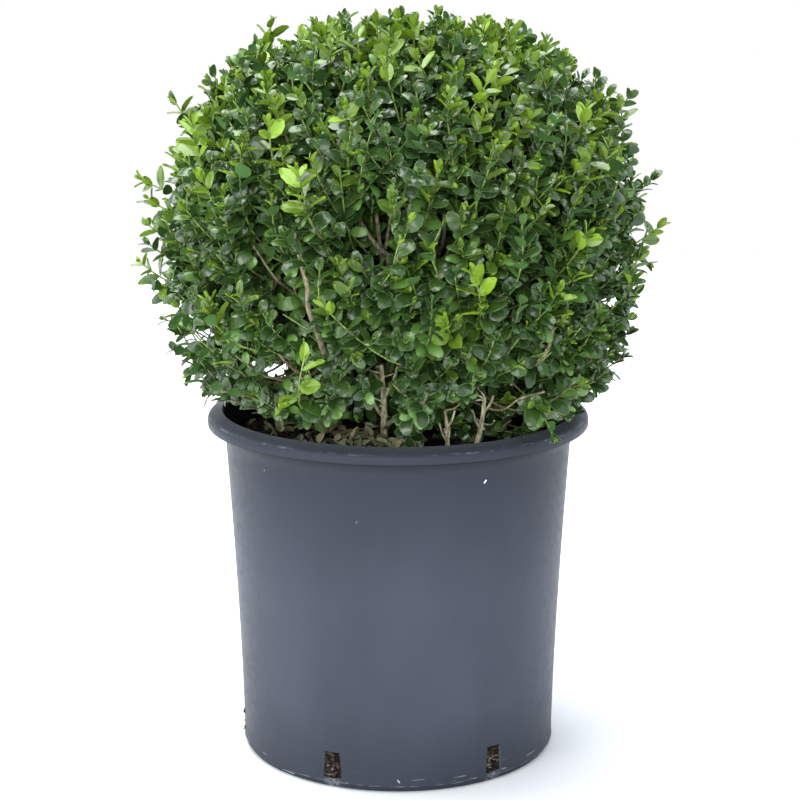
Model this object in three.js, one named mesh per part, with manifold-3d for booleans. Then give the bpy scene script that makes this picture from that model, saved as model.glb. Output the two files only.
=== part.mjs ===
// A clipped box ball in a 36 cm black nursery pot.
// Millimetres, +Z up, the origin at the middle of the pot's flat underside, the front of the plant facing -Y.
// The pot is a thin-walled tapered tub with a turned-down rim and six drain slots, filled with potting mix.
// A short trunk stands on the mix and forks into a leader and six boughs, bent out like the ribs of a goblet.
// Each bough carries one mass of foliage, and the seven masses close up into one clipped ball.

import * as THREE from "three";
import { mergeVertices } from "three/addons/utils/BufferGeometryUtils.js";
import Module from "manifold-3d";

const wasm = await Module();
wasm.setup();

// Driving dimensions

const CLEARANCE = 0.3;
const TURN = 2 * Math.PI;
const DEGREE = Math.PI / 180;

const POT_HEIGHT = 329.4;
const POT_FOOT_RADIUS = 144.5;
const POT_WALL_FOOT_RADIUS = 147;
const POT_WALL_TOP_RADIUS = 160.2;
const POT_WALL_TOP_Z = 290;
const POT_WALL_CURVE = 1.5;
const POT_WALL = 2.6;
const POT_FLOOR = 4;
const POT_FOOT_CHAMFER = 2.5;
const POT_BEAD_Z = 6;
const RIM_RADIUS = 180.3;
const RIM_INNER_RADIUS = 166.6;
const RIM_SLOPE = 5;
const RIM_SKIRT = 9;
const RIM_THICKNESS = 3;
const COLLAR_Z = 306;
const POT_SEGMENTS = 48;
const POT_WALL_STEPS = 3;

// Drain slots in the foot of the wall, each with a round hole further in through the floor.
const SLOT_COUNT = 6;
const SLOT_FIRST_AZIMUTH = -23.8;
const SLOT_WIDTH = 13.5;
const SLOT_LOW_Z = 6.5;
const SLOT_HIGH_Z = 35;
const SLOT_CUT_DEPTH = 24;
const FLOOR_HOLE_RADIUS = 6;
const FLOOR_HOLE_RING = 92;

const MIX_RADIUS = 157;
const MIX_EDGE_Z = 300;
const MIX_SHOULDER_RADIUS = 96;
const MIX_SHOULDER_Z = 308;
const MIX_SEAT_RADIUS = 36;
const MIX_TOP_Z = 311;

const TRUNK_FLARE_RADIUS = 27;
const TRUNK_FLARE_HEIGHT = 16;
const TRUNK_RADIUS = 15.5;
const TRUNK_KNUCKLE_RADIUS = 17;
const TRUNK_HEIGHT = 44;
const TRUNK_SIDES = 12;

const CROWN_CENTRE = new THREE.Vector3(5, 0, 504);
const CROWN_HALF_WIDTH = 223;
const CROWN_HALF_HEIGHT = 200;
const CROWN_SQUARENESS_ABOVE = 2.6;
const CROWN_SQUARENESS_BELOW = 3;
const CROWN_RIPPLE = 0.011;

const MASS_ELEVATION = -4;
const SEAM = 1.6;
const HOLLOW_RADIUS = 96;
const HOLLOW_TOP = 88;
const CORE_REACH = 0.75;
const CORE_FOOT_Z = 388;
const CORE_DETAIL = 2;
const CORE_SQUARENESS = 12;
const HALVINGS = 24;

const BOUGH_ROOT_RADIUS = 5.8;
const BOUGH_TIP_RADIUS = 4;
const BOUGH_ROOT_Z = 324;
const BOUGH_ROOT_STAGGER = 9;
const BOUGH_TIP_Z = 464;
const BOUGH_SPREAD = 0.9;
const BOUGH_SWAY_TURN = 0.8 * TURN;
const BOUGH_SIDES = 7;
const BOUGH_STEPS = 7;
const LEADER_ROOT_RADIUS = 8;
const LEADER_TIP_RADIUS = 4.5;
const LEADER_SWAY = 7;
const LEADER_LEAN = 4;
const LIMB_END_GAP = 12;
const LIMB_SAMPLES = 24;

// Bare stems that rise from the mix at the front, each forked by an old cut.
const FRONT_STEMS = [
  { name: "stem_front_left", foot: [-13, -98], top: [-15, -104], height: 62, radius: 3.6, fork: 0.62 },
  { name: "stem_front_right", foot: [44, -112], top: [42, -114], height: 34, radius: 2.4, fork: 0.6 },
  { name: "stem_right", foot: [70, -92], top: [78, -98], height: 40, radius: 2.8, fork: 0.7 },
];
const STEM_BEND = 1.5;
const STEM_TAPER = 0.55;
const STEM_SWELL = 0.35;
const PRONG_SPREAD = 0.16;
const PRONG_RADIUS = 0.62;

const SHOOTS = 114;
const SHOOT_LENGTH = 78;
const SHOOT_RADIUS = 2.2;
const SHOOT_TIP_RADIUS = 1.1;
const SHOOT_TIP_LOW = 0.8;
const SHOOT_TIP_HIGH = 0.89;
const SHOOT_LIFT = 0.62;
const SHOOT_LEAN_IN = 0.3;
const SPRIG_BELOW_TIP = 0.12;
const LEAF_PAIRS = 2;
const PAIR_SPACING = 18;
const LEAF_LENGTH = 50;
const LEAF_WIDTH = 31;
const LEAF_THICKNESS = 2.6;
const LEAF_BOW = 4;
const LEAF_ROOT_SUNK = 0.6;
const LEAF_SPACING = 25;
const LEAF_RISES = [36, 56, 74];
const LEAF_TILT = 8;
const LOWER_PAIR_DROOP = 10;
const FIRST_PAIR_BELOW_TIP = 3;
const MIX_TO_LEAF = 6;
const RIM_TO_LEAF = 3;
const LIMB_TO_LEAF = 3;
const MOUTH_RADIUS = 150;
const SEED = 20;

// Sprigs that the shears missed: azimuth, elevation and how far they reach past the clipped surface.
const LONG_SPRIGS = [
  [-92, 11, 1.05],
  [-88, 1, 1.06],
  [-94, -10, 1.04],
  [88, -1, 1.07],
  [-60, 40, 1.03],
  [140, 12, 1.05],
  [200, -8, 1.04],
];

// Plain helpers

function seededRandom(seed) {
  let state = seed >>> 0;
  return () => {
    state = (state + 0x6d2b79f5) >>> 0;
    let t = state;
    t = Math.imul(t ^ (t >>> 15), t | 1);
    t ^= t + Math.imul(t ^ (t >>> 7), t | 61);
    return ((t ^ (t >>> 14)) >>> 0) / 4294967296;
  };
}

// A unit vector, with azimuth 0 to the front (-Y) and 90 to the right (+X).
function heading(azimuth, elevation) {
  const a = azimuth * DEGREE;
  const e = elevation * DEGREE;
  return new THREE.Vector3(Math.sin(a) * Math.cos(e), -Math.cos(a) * Math.cos(e), Math.sin(e));
}

function solid(geometry) {
  const bare = geometry.index ? geometry.toNonIndexed() : geometry.clone();
  for (const name of Object.keys(bare.attributes)) {
    if (name !== "position") bare.deleteAttribute(name);
  }
  const merged = mergeVertices(bare, 1e-4);
  return new wasm.Manifold(
    new wasm.Mesh({
      numProp: 3,
      vertProperties: merged.attributes.position.array,
      triVerts: new Uint32Array(merged.index.array),
    }),
  );
}

function geometryOf(manifold) {
  const mesh = manifold.getMesh();
  const positions = new Float32Array(mesh.numVert * 3);
  for (let i = 0; i < mesh.numVert; i++) {
    positions.set(mesh.vertProperties.subarray(i * mesh.numProp, i * mesh.numProp + 3), i * 3);
  }
  return new THREE.BufferGeometry()
    .setAttribute("position", new THREE.BufferAttribute(positions, 3))
    .setIndex(new THREE.BufferAttribute(mesh.triVerts, 1));
}

// Booleans leave edges too short to survive a rounding to a tenth of a micron, so they are folded away.
function tidy(manifold) {
  return manifold.simplify(0.02);
}

function named(name, manifold, material) {
  const geometry = geometryOf(tidy(manifold));
  geometry.computeVertexNormals();
  const mesh = new THREE.Mesh(geometry, material);
  mesh.name = name;
  return mesh;
}

// A closed solid of revolution about Z, from [radius, z] pairs that run round the section.
function turned(profile, segments) {
  const points = profile.map(([radius, z]) => new THREE.Vector2(radius, z));
  return new THREE.LatheGeometry(points, segments).rotateX(Math.PI / 2);
}

// A tapering limb: an upright cylinder whose rings are carried onto a curve.
function limb(curve, rootRadius, tipRadius, sides, steps, swell = 0) {
  const geometry = new THREE.CylinderGeometry(1, 1, 1, sides, steps);
  const frames = curve.computeFrenetFrames(steps);
  const position = geometry.attributes.position;
  const at = new THREE.Vector3();
  for (let i = 0; i < position.count; i++) {
    at.fromBufferAttribute(position, i);
    const share = at.y + 0.5;
    const step = Math.round(share * steps);
    const radius = THREE.MathUtils.lerp(rootRadius, tipRadius, share) * (1 + swell * (1 - share) ** 6);
    const point = curve.getPointAt(share);
    point.addScaledVector(frames.normals[step], at.x * radius);
    point.addScaledVector(frames.binormals[step], -at.z * radius);
    position.setXYZ(i, point.x, point.y, point.z);
  }
  return geometry;
}

// Pot

function wallRadius(z) {
  const rise = Math.min(z, POT_WALL_TOP_Z) / POT_WALL_TOP_Z;
  return POT_WALL_FOOT_RADIUS + (POT_WALL_TOP_RADIUS - POT_WALL_FOOT_RADIUS) * rise ** POT_WALL_CURVE;
}

// The rings of the tapered wall from its foot up, moved inwards by an offset.
function wallRings(offset, low) {
  return Array.from({ length: POT_WALL_STEPS + 1 }, (_, i) => {
    const z = THREE.MathUtils.lerp(low, POT_WALL_TOP_Z, i / POT_WALL_STEPS);
    return [wallRadius(z) - offset, z];
  });
}

function potProfile() {
  const crestZ = POT_HEIGHT - RIM_SLOPE;
  const outside = [
    [0, 0],
    [POT_FOOT_RADIUS - POT_FOOT_CHAMFER, 0],
    [POT_FOOT_RADIUS, POT_FOOT_CHAMFER],
    [POT_FOOT_RADIUS, POT_BEAD_Z - 1],
    ...wallRings(0, POT_BEAD_Z),
    [RIM_INNER_RADIUS - 1, COLLAR_Z],
    [RIM_INNER_RADIUS + 1, crestZ - RIM_THICKNESS],
    [RIM_RADIUS - RIM_THICKNESS, crestZ - RIM_THICKNESS],
    [RIM_RADIUS - RIM_THICKNESS + 0.6, crestZ - RIM_SKIRT],
    [RIM_RADIUS, crestZ - RIM_SKIRT],
    [RIM_RADIUS, crestZ - 1],
    [RIM_RADIUS - 1.4, crestZ],
  ];
  const inside = [
    [RIM_INNER_RADIUS, POT_HEIGHT],
    [RIM_INNER_RADIUS - 1.6, POT_HEIGHT - 1.6],
    [RIM_INNER_RADIUS - 1 - POT_WALL, COLLAR_Z],
    ...wallRings(POT_WALL, POT_FLOOR).reverse(),
    [0, POT_FLOOR],
  ];
  return [...outside, ...inside];
}

function slotCutter(azimuth) {
  const height = SLOT_HIGH_Z - SLOT_LOW_Z;
  const box = new THREE.BoxGeometry(SLOT_WIDTH, SLOT_CUT_DEPTH, height);
  box.translate(0, -POT_WALL_FOOT_RADIUS, SLOT_LOW_Z + height / 2);
  return box.rotateZ(azimuth * DEGREE);
}

function floorHoleCutter(azimuth) {
  const hole = new THREE.CylinderGeometry(FLOOR_HOLE_RADIUS, FLOOR_HOLE_RADIUS, 4 * POT_FLOOR, 12);
  hole.rotateX(Math.PI / 2).translate(0, -FLOOR_HOLE_RING, 0);
  return hole.rotateZ(azimuth * DEGREE);
}

function buildPot() {
  let pot = solid(turned(potProfile(), POT_SEGMENTS));
  for (let i = 0; i < SLOT_COUNT; i++) {
    const azimuth = SLOT_FIRST_AZIMUTH + (i * 360) / SLOT_COUNT;
    pot = pot.subtract(solid(slotCutter(azimuth)));
    pot = pot.subtract(solid(floorHoleCutter(azimuth)));
  }
  return pot;
}

function buildMix() {
  const side = wallRings(POT_WALL + CLEARANCE, POT_FLOOR);
  side[0][1] += CLEARANCE;
  const profile = [
    [0, POT_FLOOR + CLEARANCE],
    ...side,
    [MIX_RADIUS, MIX_EDGE_Z],
    [MIX_SHOULDER_RADIUS, MIX_SHOULDER_Z],
    [MIX_SEAT_RADIUS, MIX_TOP_Z],
    [0, MIX_TOP_Z],
  ];
  return solid(turned(profile, POT_SEGMENTS));
}

// Limbs

const TRUNK_FOOT_Z = MIX_TOP_Z + CLEARANCE;
const TRUNK_TOP_Z = TRUNK_FOOT_Z + TRUNK_HEIGHT;

// The trunk flares at its flat foot and swells again into the knuckle that the boughs leave.
function trunkGeometry(extra) {
  return turned(
    [
      [0, TRUNK_FOOT_Z],
      [TRUNK_FLARE_RADIUS + extra, TRUNK_FOOT_Z],
      [TRUNK_RADIUS * 1.25 + extra, TRUNK_FOOT_Z + 0.45 * TRUNK_FLARE_HEIGHT],
      [TRUNK_RADIUS + extra, TRUNK_FOOT_Z + TRUNK_FLARE_HEIGHT],
      [TRUNK_KNUCKLE_RADIUS + extra, TRUNK_TOP_Z + extra],
      [0, TRUNK_TOP_Z + extra],
    ],
    TRUNK_SIDES,
  );
}

const RING = [
  { side: "front", azimuth: 8, sway: 7, belly: 0 },
  { side: "right_front", azimuth: 68, sway: -8, belly: 3 },
  { side: "right_back", azimuth: 128, sway: 6, belly: -2 },
  { side: "back", azimuth: 188, sway: -7, belly: 2 },
  { side: "left_back", azimuth: 248, sway: 8, belly: -3 },
  { side: "left_front", azimuth: 308, sway: -6, belly: 7 },
];

const MASSES = [
  { side: "top", way: heading(0, 90) },
  ...RING.map((bough) => ({ side: bough.side, way: heading(bough.azimuth, MASS_ELEVATION) })),
];

// A bough leaves the trunk's side, bellies out like a goblet's rib and ends under its mass.
function boughCurve({ azimuth, sway, belly }, place) {
  const out = heading(azimuth, 0);
  const side = heading(azimuth + 90, 0);
  const points = [0, 0.18, 0.42, 0.7, 1].map((share) => {
    const reach = (HOLLOW_RADIUS - LIMB_END_GAP) * share ** BOUGH_SPREAD;
    const rootZ = BOUGH_ROOT_Z + BOUGH_ROOT_STAGGER * (place % 2);
    const height = THREE.MathUtils.lerp(rootZ, BOUGH_TIP_Z, share);
    const bow = Math.sin(share * Math.PI);
    const point = out.clone().multiplyScalar(reach + belly * bow);
    point.addScaledVector(side, sway * bow * Math.sin(share * BOUGH_SWAY_TURN));
    return point.add(new THREE.Vector3(CROWN_CENTRE.x * share, CROWN_CENTRE.y * share, height));
  });
  return new THREE.CatmullRomCurve3(points, false, "centripetal");
}

function leaderCurve() {
  const rootZ = TRUNK_TOP_Z + 2 * CLEARANCE;
  const tipZ = CROWN_CENTRE.z + HOLLOW_TOP - LIMB_END_GAP;
  const points = [0, 0.3, 0.65, 1].map(
    (share) =>
      new THREE.Vector3(
        CROWN_CENTRE.x * share - LEADER_SWAY * Math.sin(share * Math.PI),
        LEADER_LEAN * Math.sin(share * TURN),
        THREE.MathUtils.lerp(rootZ, tipZ, share),
      ),
  );
  return new THREE.CatmullRomCurve3(points, false, "centripetal");
}

const LIMBS = [
  {
    side: "top",
    curve: leaderCurve(),
    root: LEADER_ROOT_RADIUS,
    tip: LEADER_TIP_RADIUS,
  },
  ...RING.map((bough, place) => ({
    side: bough.side,
    curve: boughCurve(bough, place),
    root: BOUGH_ROOT_RADIUS,
    tip: BOUGH_TIP_RADIUS,
  })),
];

// The height of the potting mix's mound, away from its flat middle.
function mixHeight(x, y) {
  const radius = Math.hypot(x, y);
  const { mapLinear } = THREE.MathUtils;
  if (radius < MIX_SHOULDER_RADIUS) {
    return mapLinear(radius, MIX_SEAT_RADIUS, MIX_SHOULDER_RADIUS, MIX_TOP_Z, MIX_SHOULDER_Z);
  }
  return mapLinear(radius, MIX_SHOULDER_RADIUS, MIX_RADIUS, MIX_SHOULDER_Z, MIX_EDGE_Z);
}

// A stem stands on the mound: the inner edge of its swollen foot, where the mix is highest, just clears it.
function frontStem({ foot, top, height, radius, fork }) {
  const innerEdge = 1 - (radius * (1 + STEM_SWELL)) / Math.hypot(...foot);
  const z = mixHeight(foot[0] * innerEdge, foot[1] * innerEdge) + CLEARANCE;
  const root = new THREE.Vector3(foot[0], foot[1], z);
  const tip = new THREE.Vector3(top[0], top[1], z + height);
  const bend = root.clone().lerp(tip, 0.5).add(new THREE.Vector3(STEM_BEND, 0, 0));
  const curve = new THREE.CatmullRomCurve3([root, bend, tip]);
  const prongs = [-1, 1].map((hand) => {
    const low = curve.getPointAt(fork - 0.12);
    const high = curve.getPointAt(fork);
    high.add(new THREE.Vector3(hand * PRONG_SPREAD * height, -3 * hand, 0.8 * (1 - fork) * height));
    return limb(new THREE.LineCurve3(low, high), radius * PRONG_RADIUS, radius * 0.34, 5, 1);
  });
  const stem = limb(curve, radius, radius * STEM_TAPER, 7, 3, STEM_SWELL);
  return [stem, ...prongs].map(solid).reduce((whole, piece) => whole.add(piece));
}

const LIMB_POINTS = LIMBS.flatMap(({ curve, root }) =>
  curve.getSpacedPoints(LIMB_SAMPLES).map((point) => ({ point, radius: root })),
);

// How far a point lies from the nearest limb or front stem.
function woodDistance(point) {
  let nearest = Infinity;
  for (const limbPoint of LIMB_POINTS) {
    nearest = Math.min(nearest, limbPoint.point.distanceTo(point) - limbPoint.radius);
  }
  for (const { foot, height, radius } of FRONT_STEMS) {
    const low = mixHeight(...foot);
    const z = THREE.MathUtils.clamp(point.z, low, low + height);
    const spread = radius + 1.5 * PRONG_SPREAD * (z - low);
    nearest = Math.min(nearest, Math.hypot(point.x - foot[0], point.y - foot[1], point.z - z) - spread);
  }
  return nearest;
}

// Foliage

// The clipped surface: a ball with a little of a box's squareness, and shallow ripples round its waist.
function crownRadius(way) {
  const across = Math.hypot(way.x, way.y) / CROWN_HALF_WIDTH;
  const up = Math.abs(way.z) / CROWN_HALF_HEIGHT;
  const power = way.z > 0 ? CROWN_SQUARENESS_ABOVE : CROWN_SQUARENESS_BELOW;
  const clipped = (across ** power + up ** power) ** (-1 / power);
  const azimuth = Math.atan2(way.x, -way.y);
  const ripple = Math.sin(3 * azimuth + 5 * way.z) + Math.sin(5 * azimuth - 4 * way.z + 1.3);
  return clipped * (1 + CROWN_RIPPLE * ripple * (1 - way.z * way.z));
}

// How far a point lies inside a mass's own space: the nearest of the seams with its neighbours.
function seamDepth(point, mass) {
  const from = point.clone().sub(CROWN_CENTRE);
  let depth = Infinity;
  for (const other of MASSES) {
    if (other === mass) continue;
    const across = mass.way.clone().sub(other.way).normalize();
    depth = Math.min(depth, from.dot(across) - SEAM / 2);
  }
  return depth;
}

function massOf(way) {
  return MASSES.reduce((best, mass) => (mass.way.dot(way) > best.way.dot(way) ? mass : best));
}

// The distance from a point inside the crown to the core's share of the clipped surface.
function surfaceDistance(from, way) {
  let low = 0;
  let high = 2 * CROWN_HALF_WIDTH;
  for (let i = 0; i < HALVINGS; i++) {
    const half = (low + high) / 2;
    const at = from.clone().addScaledVector(way, half).sub(CROWN_CENTRE);
    const reach = at.length();
    if (reach < CORE_REACH * crownRadius(at.normalize())) low = half;
    else high = half;
  }
  return low;
}

function massMiddle(mass) {
  const hollow = mass.side === "top" ? HOLLOW_TOP : HOLLOW_RADIUS;
  const middle = (hollow + CORE_REACH * crownRadius(mass.way)) / 2;
  return CROWN_CENTRE.clone().addScaledVector(mass.way, middle);
}

// The core fills the space between the seams, the boughs' hollow and the clipped surface, with round corners.
function coreGeometry(mass) {
  const hollow = mass.side === "top" ? HOLLOW_TOP : HOLLOW_RADIUS;
  const middle = massMiddle(mass);
  const planes = MASSES.filter((other) => other !== mass).map((other) => {
    const normal = other.way.clone().sub(mass.way).normalize();
    return { normal, distance: normal.dot(CROWN_CENTRE.clone().sub(middle)) - SEAM };
  });
  planes.push({ normal: mass.way.clone().negate(), distance: middle.distanceTo(CROWN_CENTRE) - hollow });
  planes.push({ normal: new THREE.Vector3(0, 0, -1), distance: middle.z - CORE_FOOT_Z });
  const geometry = new THREE.IcosahedronGeometry(1, CORE_DETAIL);
  const position = geometry.attributes.position;
  const way = new THREE.Vector3();
  for (let i = 0; i < position.count; i++) {
    way.fromBufferAttribute(position, i).normalize();
    let sum = surfaceDistance(middle, way) ** -CORE_SQUARENESS;
    for (const { normal, distance } of planes) {
      sum += (Math.max(normal.dot(way), 0) / distance) ** CORE_SQUARENESS;
    }
    way.multiplyScalar(sum ** (-1 / CORE_SQUARENESS)).add(middle);
    position.setXYZ(i, way.x, way.y, way.z);
  }
  return geometry;
}

// Evenly spread directions, one for each shoot that reaches the clipped surface, and the long sprigs.
function shootWays() {
  const golden = Math.PI * (3 - Math.sqrt(5));
  const spread = Array.from({ length: SHOOTS }, (_, i) => {
    const z = 1 - (2 * (i + 0.5)) / SHOOTS;
    const across = Math.sqrt(1 - z * z);
    const way = new THREE.Vector3(Math.cos(i * golden) * across, Math.sin(i * golden) * across, z);
    return { way, past: 0 };
  });
  const long = LONG_SPRIGS.map(([azimuth, elevation, past]) => ({ way: heading(azimuth, elevation), past }));
  return [...spread, ...long];
}

// Shoots grow outwards and turn up towards the light, less so the lower they are.
function shootAxis(way) {
  const lift = SHOOT_LIFT * THREE.MathUtils.smoothstep(way.z, -0.75, 0.35);
  return way.clone().add(new THREE.Vector3(0, 0, lift)).normalize();
}

// One leaf: a thin eight-faced blade that runs along +Y from its root at the origin, bowed upwards.
function leafGeometry() {
  const leaf = new THREE.OctahedronGeometry(1, 0);
  leaf.scale(LEAF_WIDTH / 2, LEAF_LENGTH / 2, LEAF_THICKNESS / 2).translate(0, LEAF_LENGTH / 2, 0);
  const position = leaf.attributes.position;
  for (let i = 0; i < position.count; i++) {
    const along = position.getY(i) / LEAF_LENGTH;
    position.setZ(i, position.getZ(i) + LEAF_BOW * 4 * along * (1 - along));
  }
  return leaf;
}
const LEAF = leafGeometry();

function placedLeaf(root, blade, face) {
  const across = blade.clone().cross(face).normalize();
  const upright = across.clone().cross(blade);
  const matrix = new THREE.Matrix4().makeBasis(across, blade, upright);
  const sunk = root.clone().addScaledVector(blade, -LEAF_ROOT_SUNK);
  return LEAF.clone().applyMatrix4(matrix.setPosition(sunk));
}

// Leaves stay clear of the seams, the wood, the mix and, outside the pot's mouth, its rim.
function keepsToItsSpace(points, mass) {
  return points.every((point) => {
    const inMouth = Math.hypot(point.x, point.y) < MOUTH_RADIUS;
    const aboveRest = point.z > (inMouth ? MIX_TOP_Z + MIX_TO_LEAF : POT_HEIGHT + RIM_TO_LEAF);
    return aboveRest && seamDepth(point, mass) > 0 && woodDistance(point) > LIMB_TO_LEAF;
  });
}

function corners(geometry) {
  const position = geometry.attributes.position;
  return Array.from({ length: position.count }, (_, i) => new THREE.Vector3().fromBufferAttribute(position, i));
}

// A leaf is first laid well out from its shoot, and folded up closer where it would leave its mass's space
// or crowd a leaf that is there already.
function fittedLeaf(root, line, outwards, tilt, mass, middles) {
  for (const rise of LEAF_RISES) {
    const angle = (rise + tilt) * DEGREE;
    const blade = outwards.clone().multiplyScalar(Math.cos(angle)).addScaledVector(line, Math.sin(angle));
    const middle = root.clone().addScaledVector(blade, LEAF_LENGTH * 0.55);
    if (middles.some((other) => other.distanceTo(middle) < LEAF_SPACING)) continue;
    const leaf = placedLeaf(root, blade, line);
    if (keepsToItsSpace(corners(leaf), mass)) {
      middles.push(middle);
      return solid(leaf);
    }
  }
  return null;
}

// A shoot: a straight three-sided twig out of the core, with crossed pairs of leaves at its end.
function shootSolids(way, past, mass, middle, random, middles) {
  const clippedAt = THREE.MathUtils.lerp(SHOOT_TIP_LOW, SHOOT_TIP_HIGH, random());
  const tipAt = past > 0 ? past - SPRIG_BELOW_TIP : clippedAt;
  const tip = CROWN_CENTRE.clone().addScaledVector(way, tipAt * crownRadius(way));
  const foot = tip.clone().addScaledVector(shootAxis(way), -SHOOT_LENGTH).lerp(middle, SHOOT_LEAN_IN);
  const course = new THREE.LineCurve3(foot, tip);
  if (!keepsToItsSpace(course.getPoints(8), mass)) return [];
  const solids = [solid(limb(course, SHOOT_RADIUS, SHOOT_TIP_RADIUS, 3, 1))];
  const line = tip.clone().sub(foot).normalize();
  const side = new THREE.Vector3(line.y, -line.x, 0).normalize();
  side.applyAxisAngle(line, random() * Math.PI);
  const pairs = past > 0 ? LEAF_PAIRS + 1 : LEAF_PAIRS;
  for (let pair = 0; pair < pairs; pair++) {
    const root = tip.clone().addScaledVector(line, -FIRST_PAIR_BELOW_TIP - PAIR_SPACING * pair);
    for (const hand of [1, -1]) {
      const tilt = LEAF_TILT * (2 * random() - 1) - LOWER_PAIR_DROOP * pair;
      const leaf = fittedLeaf(root, line, side.clone().multiplyScalar(hand), tilt, mass, middles);
      if (leaf) solids.push(leaf);
    }
    side.applyAxisAngle(line, Math.PI / 2);
  }
  return solids;
}

// A mass: its stem beyond the bough's tip, its core, and the shoots and leaves that stand out of it.
function buildMass(mass, random) {
  const middle = massMiddle(mass);
  const bough = LIMBS.find((each) => each.side === mass.side);
  const onwards = bough.curve.getTangentAt(1);
  const seat = bough.curve.getPointAt(1).addScaledVector(onwards, CLEARANCE);
  const stem = new THREE.CatmullRomCurve3([seat, seat.clone().addScaledVector(onwards, 12), middle]);
  const solids = [solid(coreGeometry(mass)), solid(limb(stem, bough.tip, bough.tip * 0.8, 6, 3))];
  const middles = [];
  for (const { way, past } of shootWays()) {
    if (massOf(way) === mass) solids.push(...shootSolids(way, past, mass, middle, random, middles));
  }
  return fused(solids);
}

// The joined solid, less any scrap that nothing holds.
function fused(solids) {
  const pieces = wasm.Manifold.union(solids).decompose();
  return pieces.reduce((largest, piece) => (piece.volume() > largest.volume() ? piece : largest));
}

// Materials

const plastic = new THREE.MeshStandardMaterial({ color: 0x34393f, roughness: 0.45, metalness: 0 });
const mixture = new THREE.MeshStandardMaterial({ color: 0x2a1e17, roughness: 0.95, metalness: 0 });
const bark = new THREE.MeshStandardMaterial({ color: 0x7a6a52, roughness: 0.85, metalness: 0 });
const foliage = new THREE.MeshStandardMaterial({ color: 0x35651f, roughness: 0.4, metalness: 0 });

// Assembly

const plant = new THREE.Group();
plant.name = "box_ball";

const pot = new THREE.Group();
pot.name = "container";
pot.add(named("pot", buildPot(), plastic));
pot.add(named("potting_mix", buildMix(), mixture));
plant.add(pot);

const wood = new THREE.Group();
wood.name = "wood";
wood.add(named("trunk", solid(trunkGeometry(0)), bark));
const trunkRoom = solid(trunkGeometry(CLEARANCE));
for (const { side, curve, root, tip } of LIMBS) {
  const name = side === "top" ? "leader" : "bough_" + side;
  const whole = solid(limb(curve, root, tip, BOUGH_SIDES, BOUGH_STEPS));
  wood.add(named(name, whole.subtract(trunkRoom), bark));
}
for (const stem of FRONT_STEMS) {
  wood.add(named(stem.name, frontStem(stem), bark));
}
plant.add(wood);

const crown = new THREE.Group();
crown.name = "crown";
MASSES.forEach((mass, i) => {
  crown.add(named("foliage_" + mass.side, buildMass(mass, seededRandom(SEED + i)), foliage));
});
plant.add(crown);

export default plant;
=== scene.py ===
# A clipped box ball in a dark 36 cm nursery pot: the finish of the pot, the mix, the wood and the leaves.
# Metres, +Z up, the origin at the middle of the pot's flat underside, the front of the plant facing -Y.
# The limbs and the clipped surface follow the same sizes and rules as the solids of the frame.

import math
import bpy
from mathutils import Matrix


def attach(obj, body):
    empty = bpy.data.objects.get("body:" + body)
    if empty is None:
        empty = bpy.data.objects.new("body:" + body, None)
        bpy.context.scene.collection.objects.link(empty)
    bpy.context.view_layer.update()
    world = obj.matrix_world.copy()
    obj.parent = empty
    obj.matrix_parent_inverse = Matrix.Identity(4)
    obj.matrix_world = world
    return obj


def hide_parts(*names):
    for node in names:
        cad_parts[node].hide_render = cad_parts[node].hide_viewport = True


bl_info = {
    "name": "Box Ball in a Nursery Pot",
    "version": (1, 0, 0),
    "blender": (4, 5, 0),
    "location": "3D View > Sidebar > Box Ball",
    "description": "Models a clipped box ball, leaf by leaf, and the pot that it grows in",
    "category": "Object",
}

import bpy
import numpy as np
from bpy.props import FloatProperty, FloatVectorProperty, IntProperty, PointerProperty
from mathutils import Vector

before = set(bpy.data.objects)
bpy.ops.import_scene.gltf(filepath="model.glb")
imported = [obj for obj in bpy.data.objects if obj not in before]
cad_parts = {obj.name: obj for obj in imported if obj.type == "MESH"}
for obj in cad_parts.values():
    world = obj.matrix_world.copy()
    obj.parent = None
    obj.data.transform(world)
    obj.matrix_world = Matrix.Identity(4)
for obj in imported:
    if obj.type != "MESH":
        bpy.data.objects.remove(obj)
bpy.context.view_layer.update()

TURN = 2 * math.pi
UP = np.array((0.0, 0.0, 1.0))
# A little off the vertical, so that no shoot lies along it
OFF_UP = UP + 0.001

# Pot
POT_HEIGHT = 0.3294
POT_FOOT_RADIUS = 0.1471
POT_WALL_FOOT_RADIUS = 0.1496
POT_WALL_TOP_RADIUS = 0.1628
POT_WALL_TOP_Z = 0.29
POT_WALL_CURVE = 1.5
POT_WALL = 0.0026
POT_FLOOR = 0.004
POT_BEAD_Z = 0.006
POT_RECESS = 0.0012
POT_STEPS = 144
POT_RINGS = 14
RIM_RADIUS = 0.1803
RIM_INNER_RADIUS = 0.1666
RIM_SKIRT_Z = 0.3152
COLLAR_Z = 0.306
SLOTS = 6
SLOT_FIRST_AZIMUTH = -23.8
SLOT_WIDTH = 0.0148
SLOT_LOW_Z = 0.0092
SLOT_HIGH_Z = 0.035
SLOT_DEPTH = 0.022
SLOT_FLARE = 1.22
SLOT_RAGGED = 0.0009
SLOT_EDGE_CUTS = 5
SLOT_AZIMUTHS = [SLOT_FIRST_AZIMUTH + place * 360 / SLOTS for place in range(SLOTS)]
SLOT_CRUMBS = 44
SLOT_CRUMB_PROUD = 0.0034
SLOT_CRUMB_LEAST = 0.003
SLOT_CRUMB_SPREAD = 0.004
SLOT_CRUMB_TILT = 0.5
SLOT_CRUMB_WIDTH = 0.8
SLOT_ROOTS = 3
SLOT_ROOT_RADIUS = 0.00036
SLOT_ROOT_SPAN = 0.017
SLOT_ROOT_POINTS = 7
SLOT_ROOT_SIDES = 5
SLOT_ROOT_BULGE = 0.001
SLOT_ROOT_LEAST = 0.6
SLOT_ROOT_SPREAD = 0.9
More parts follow.
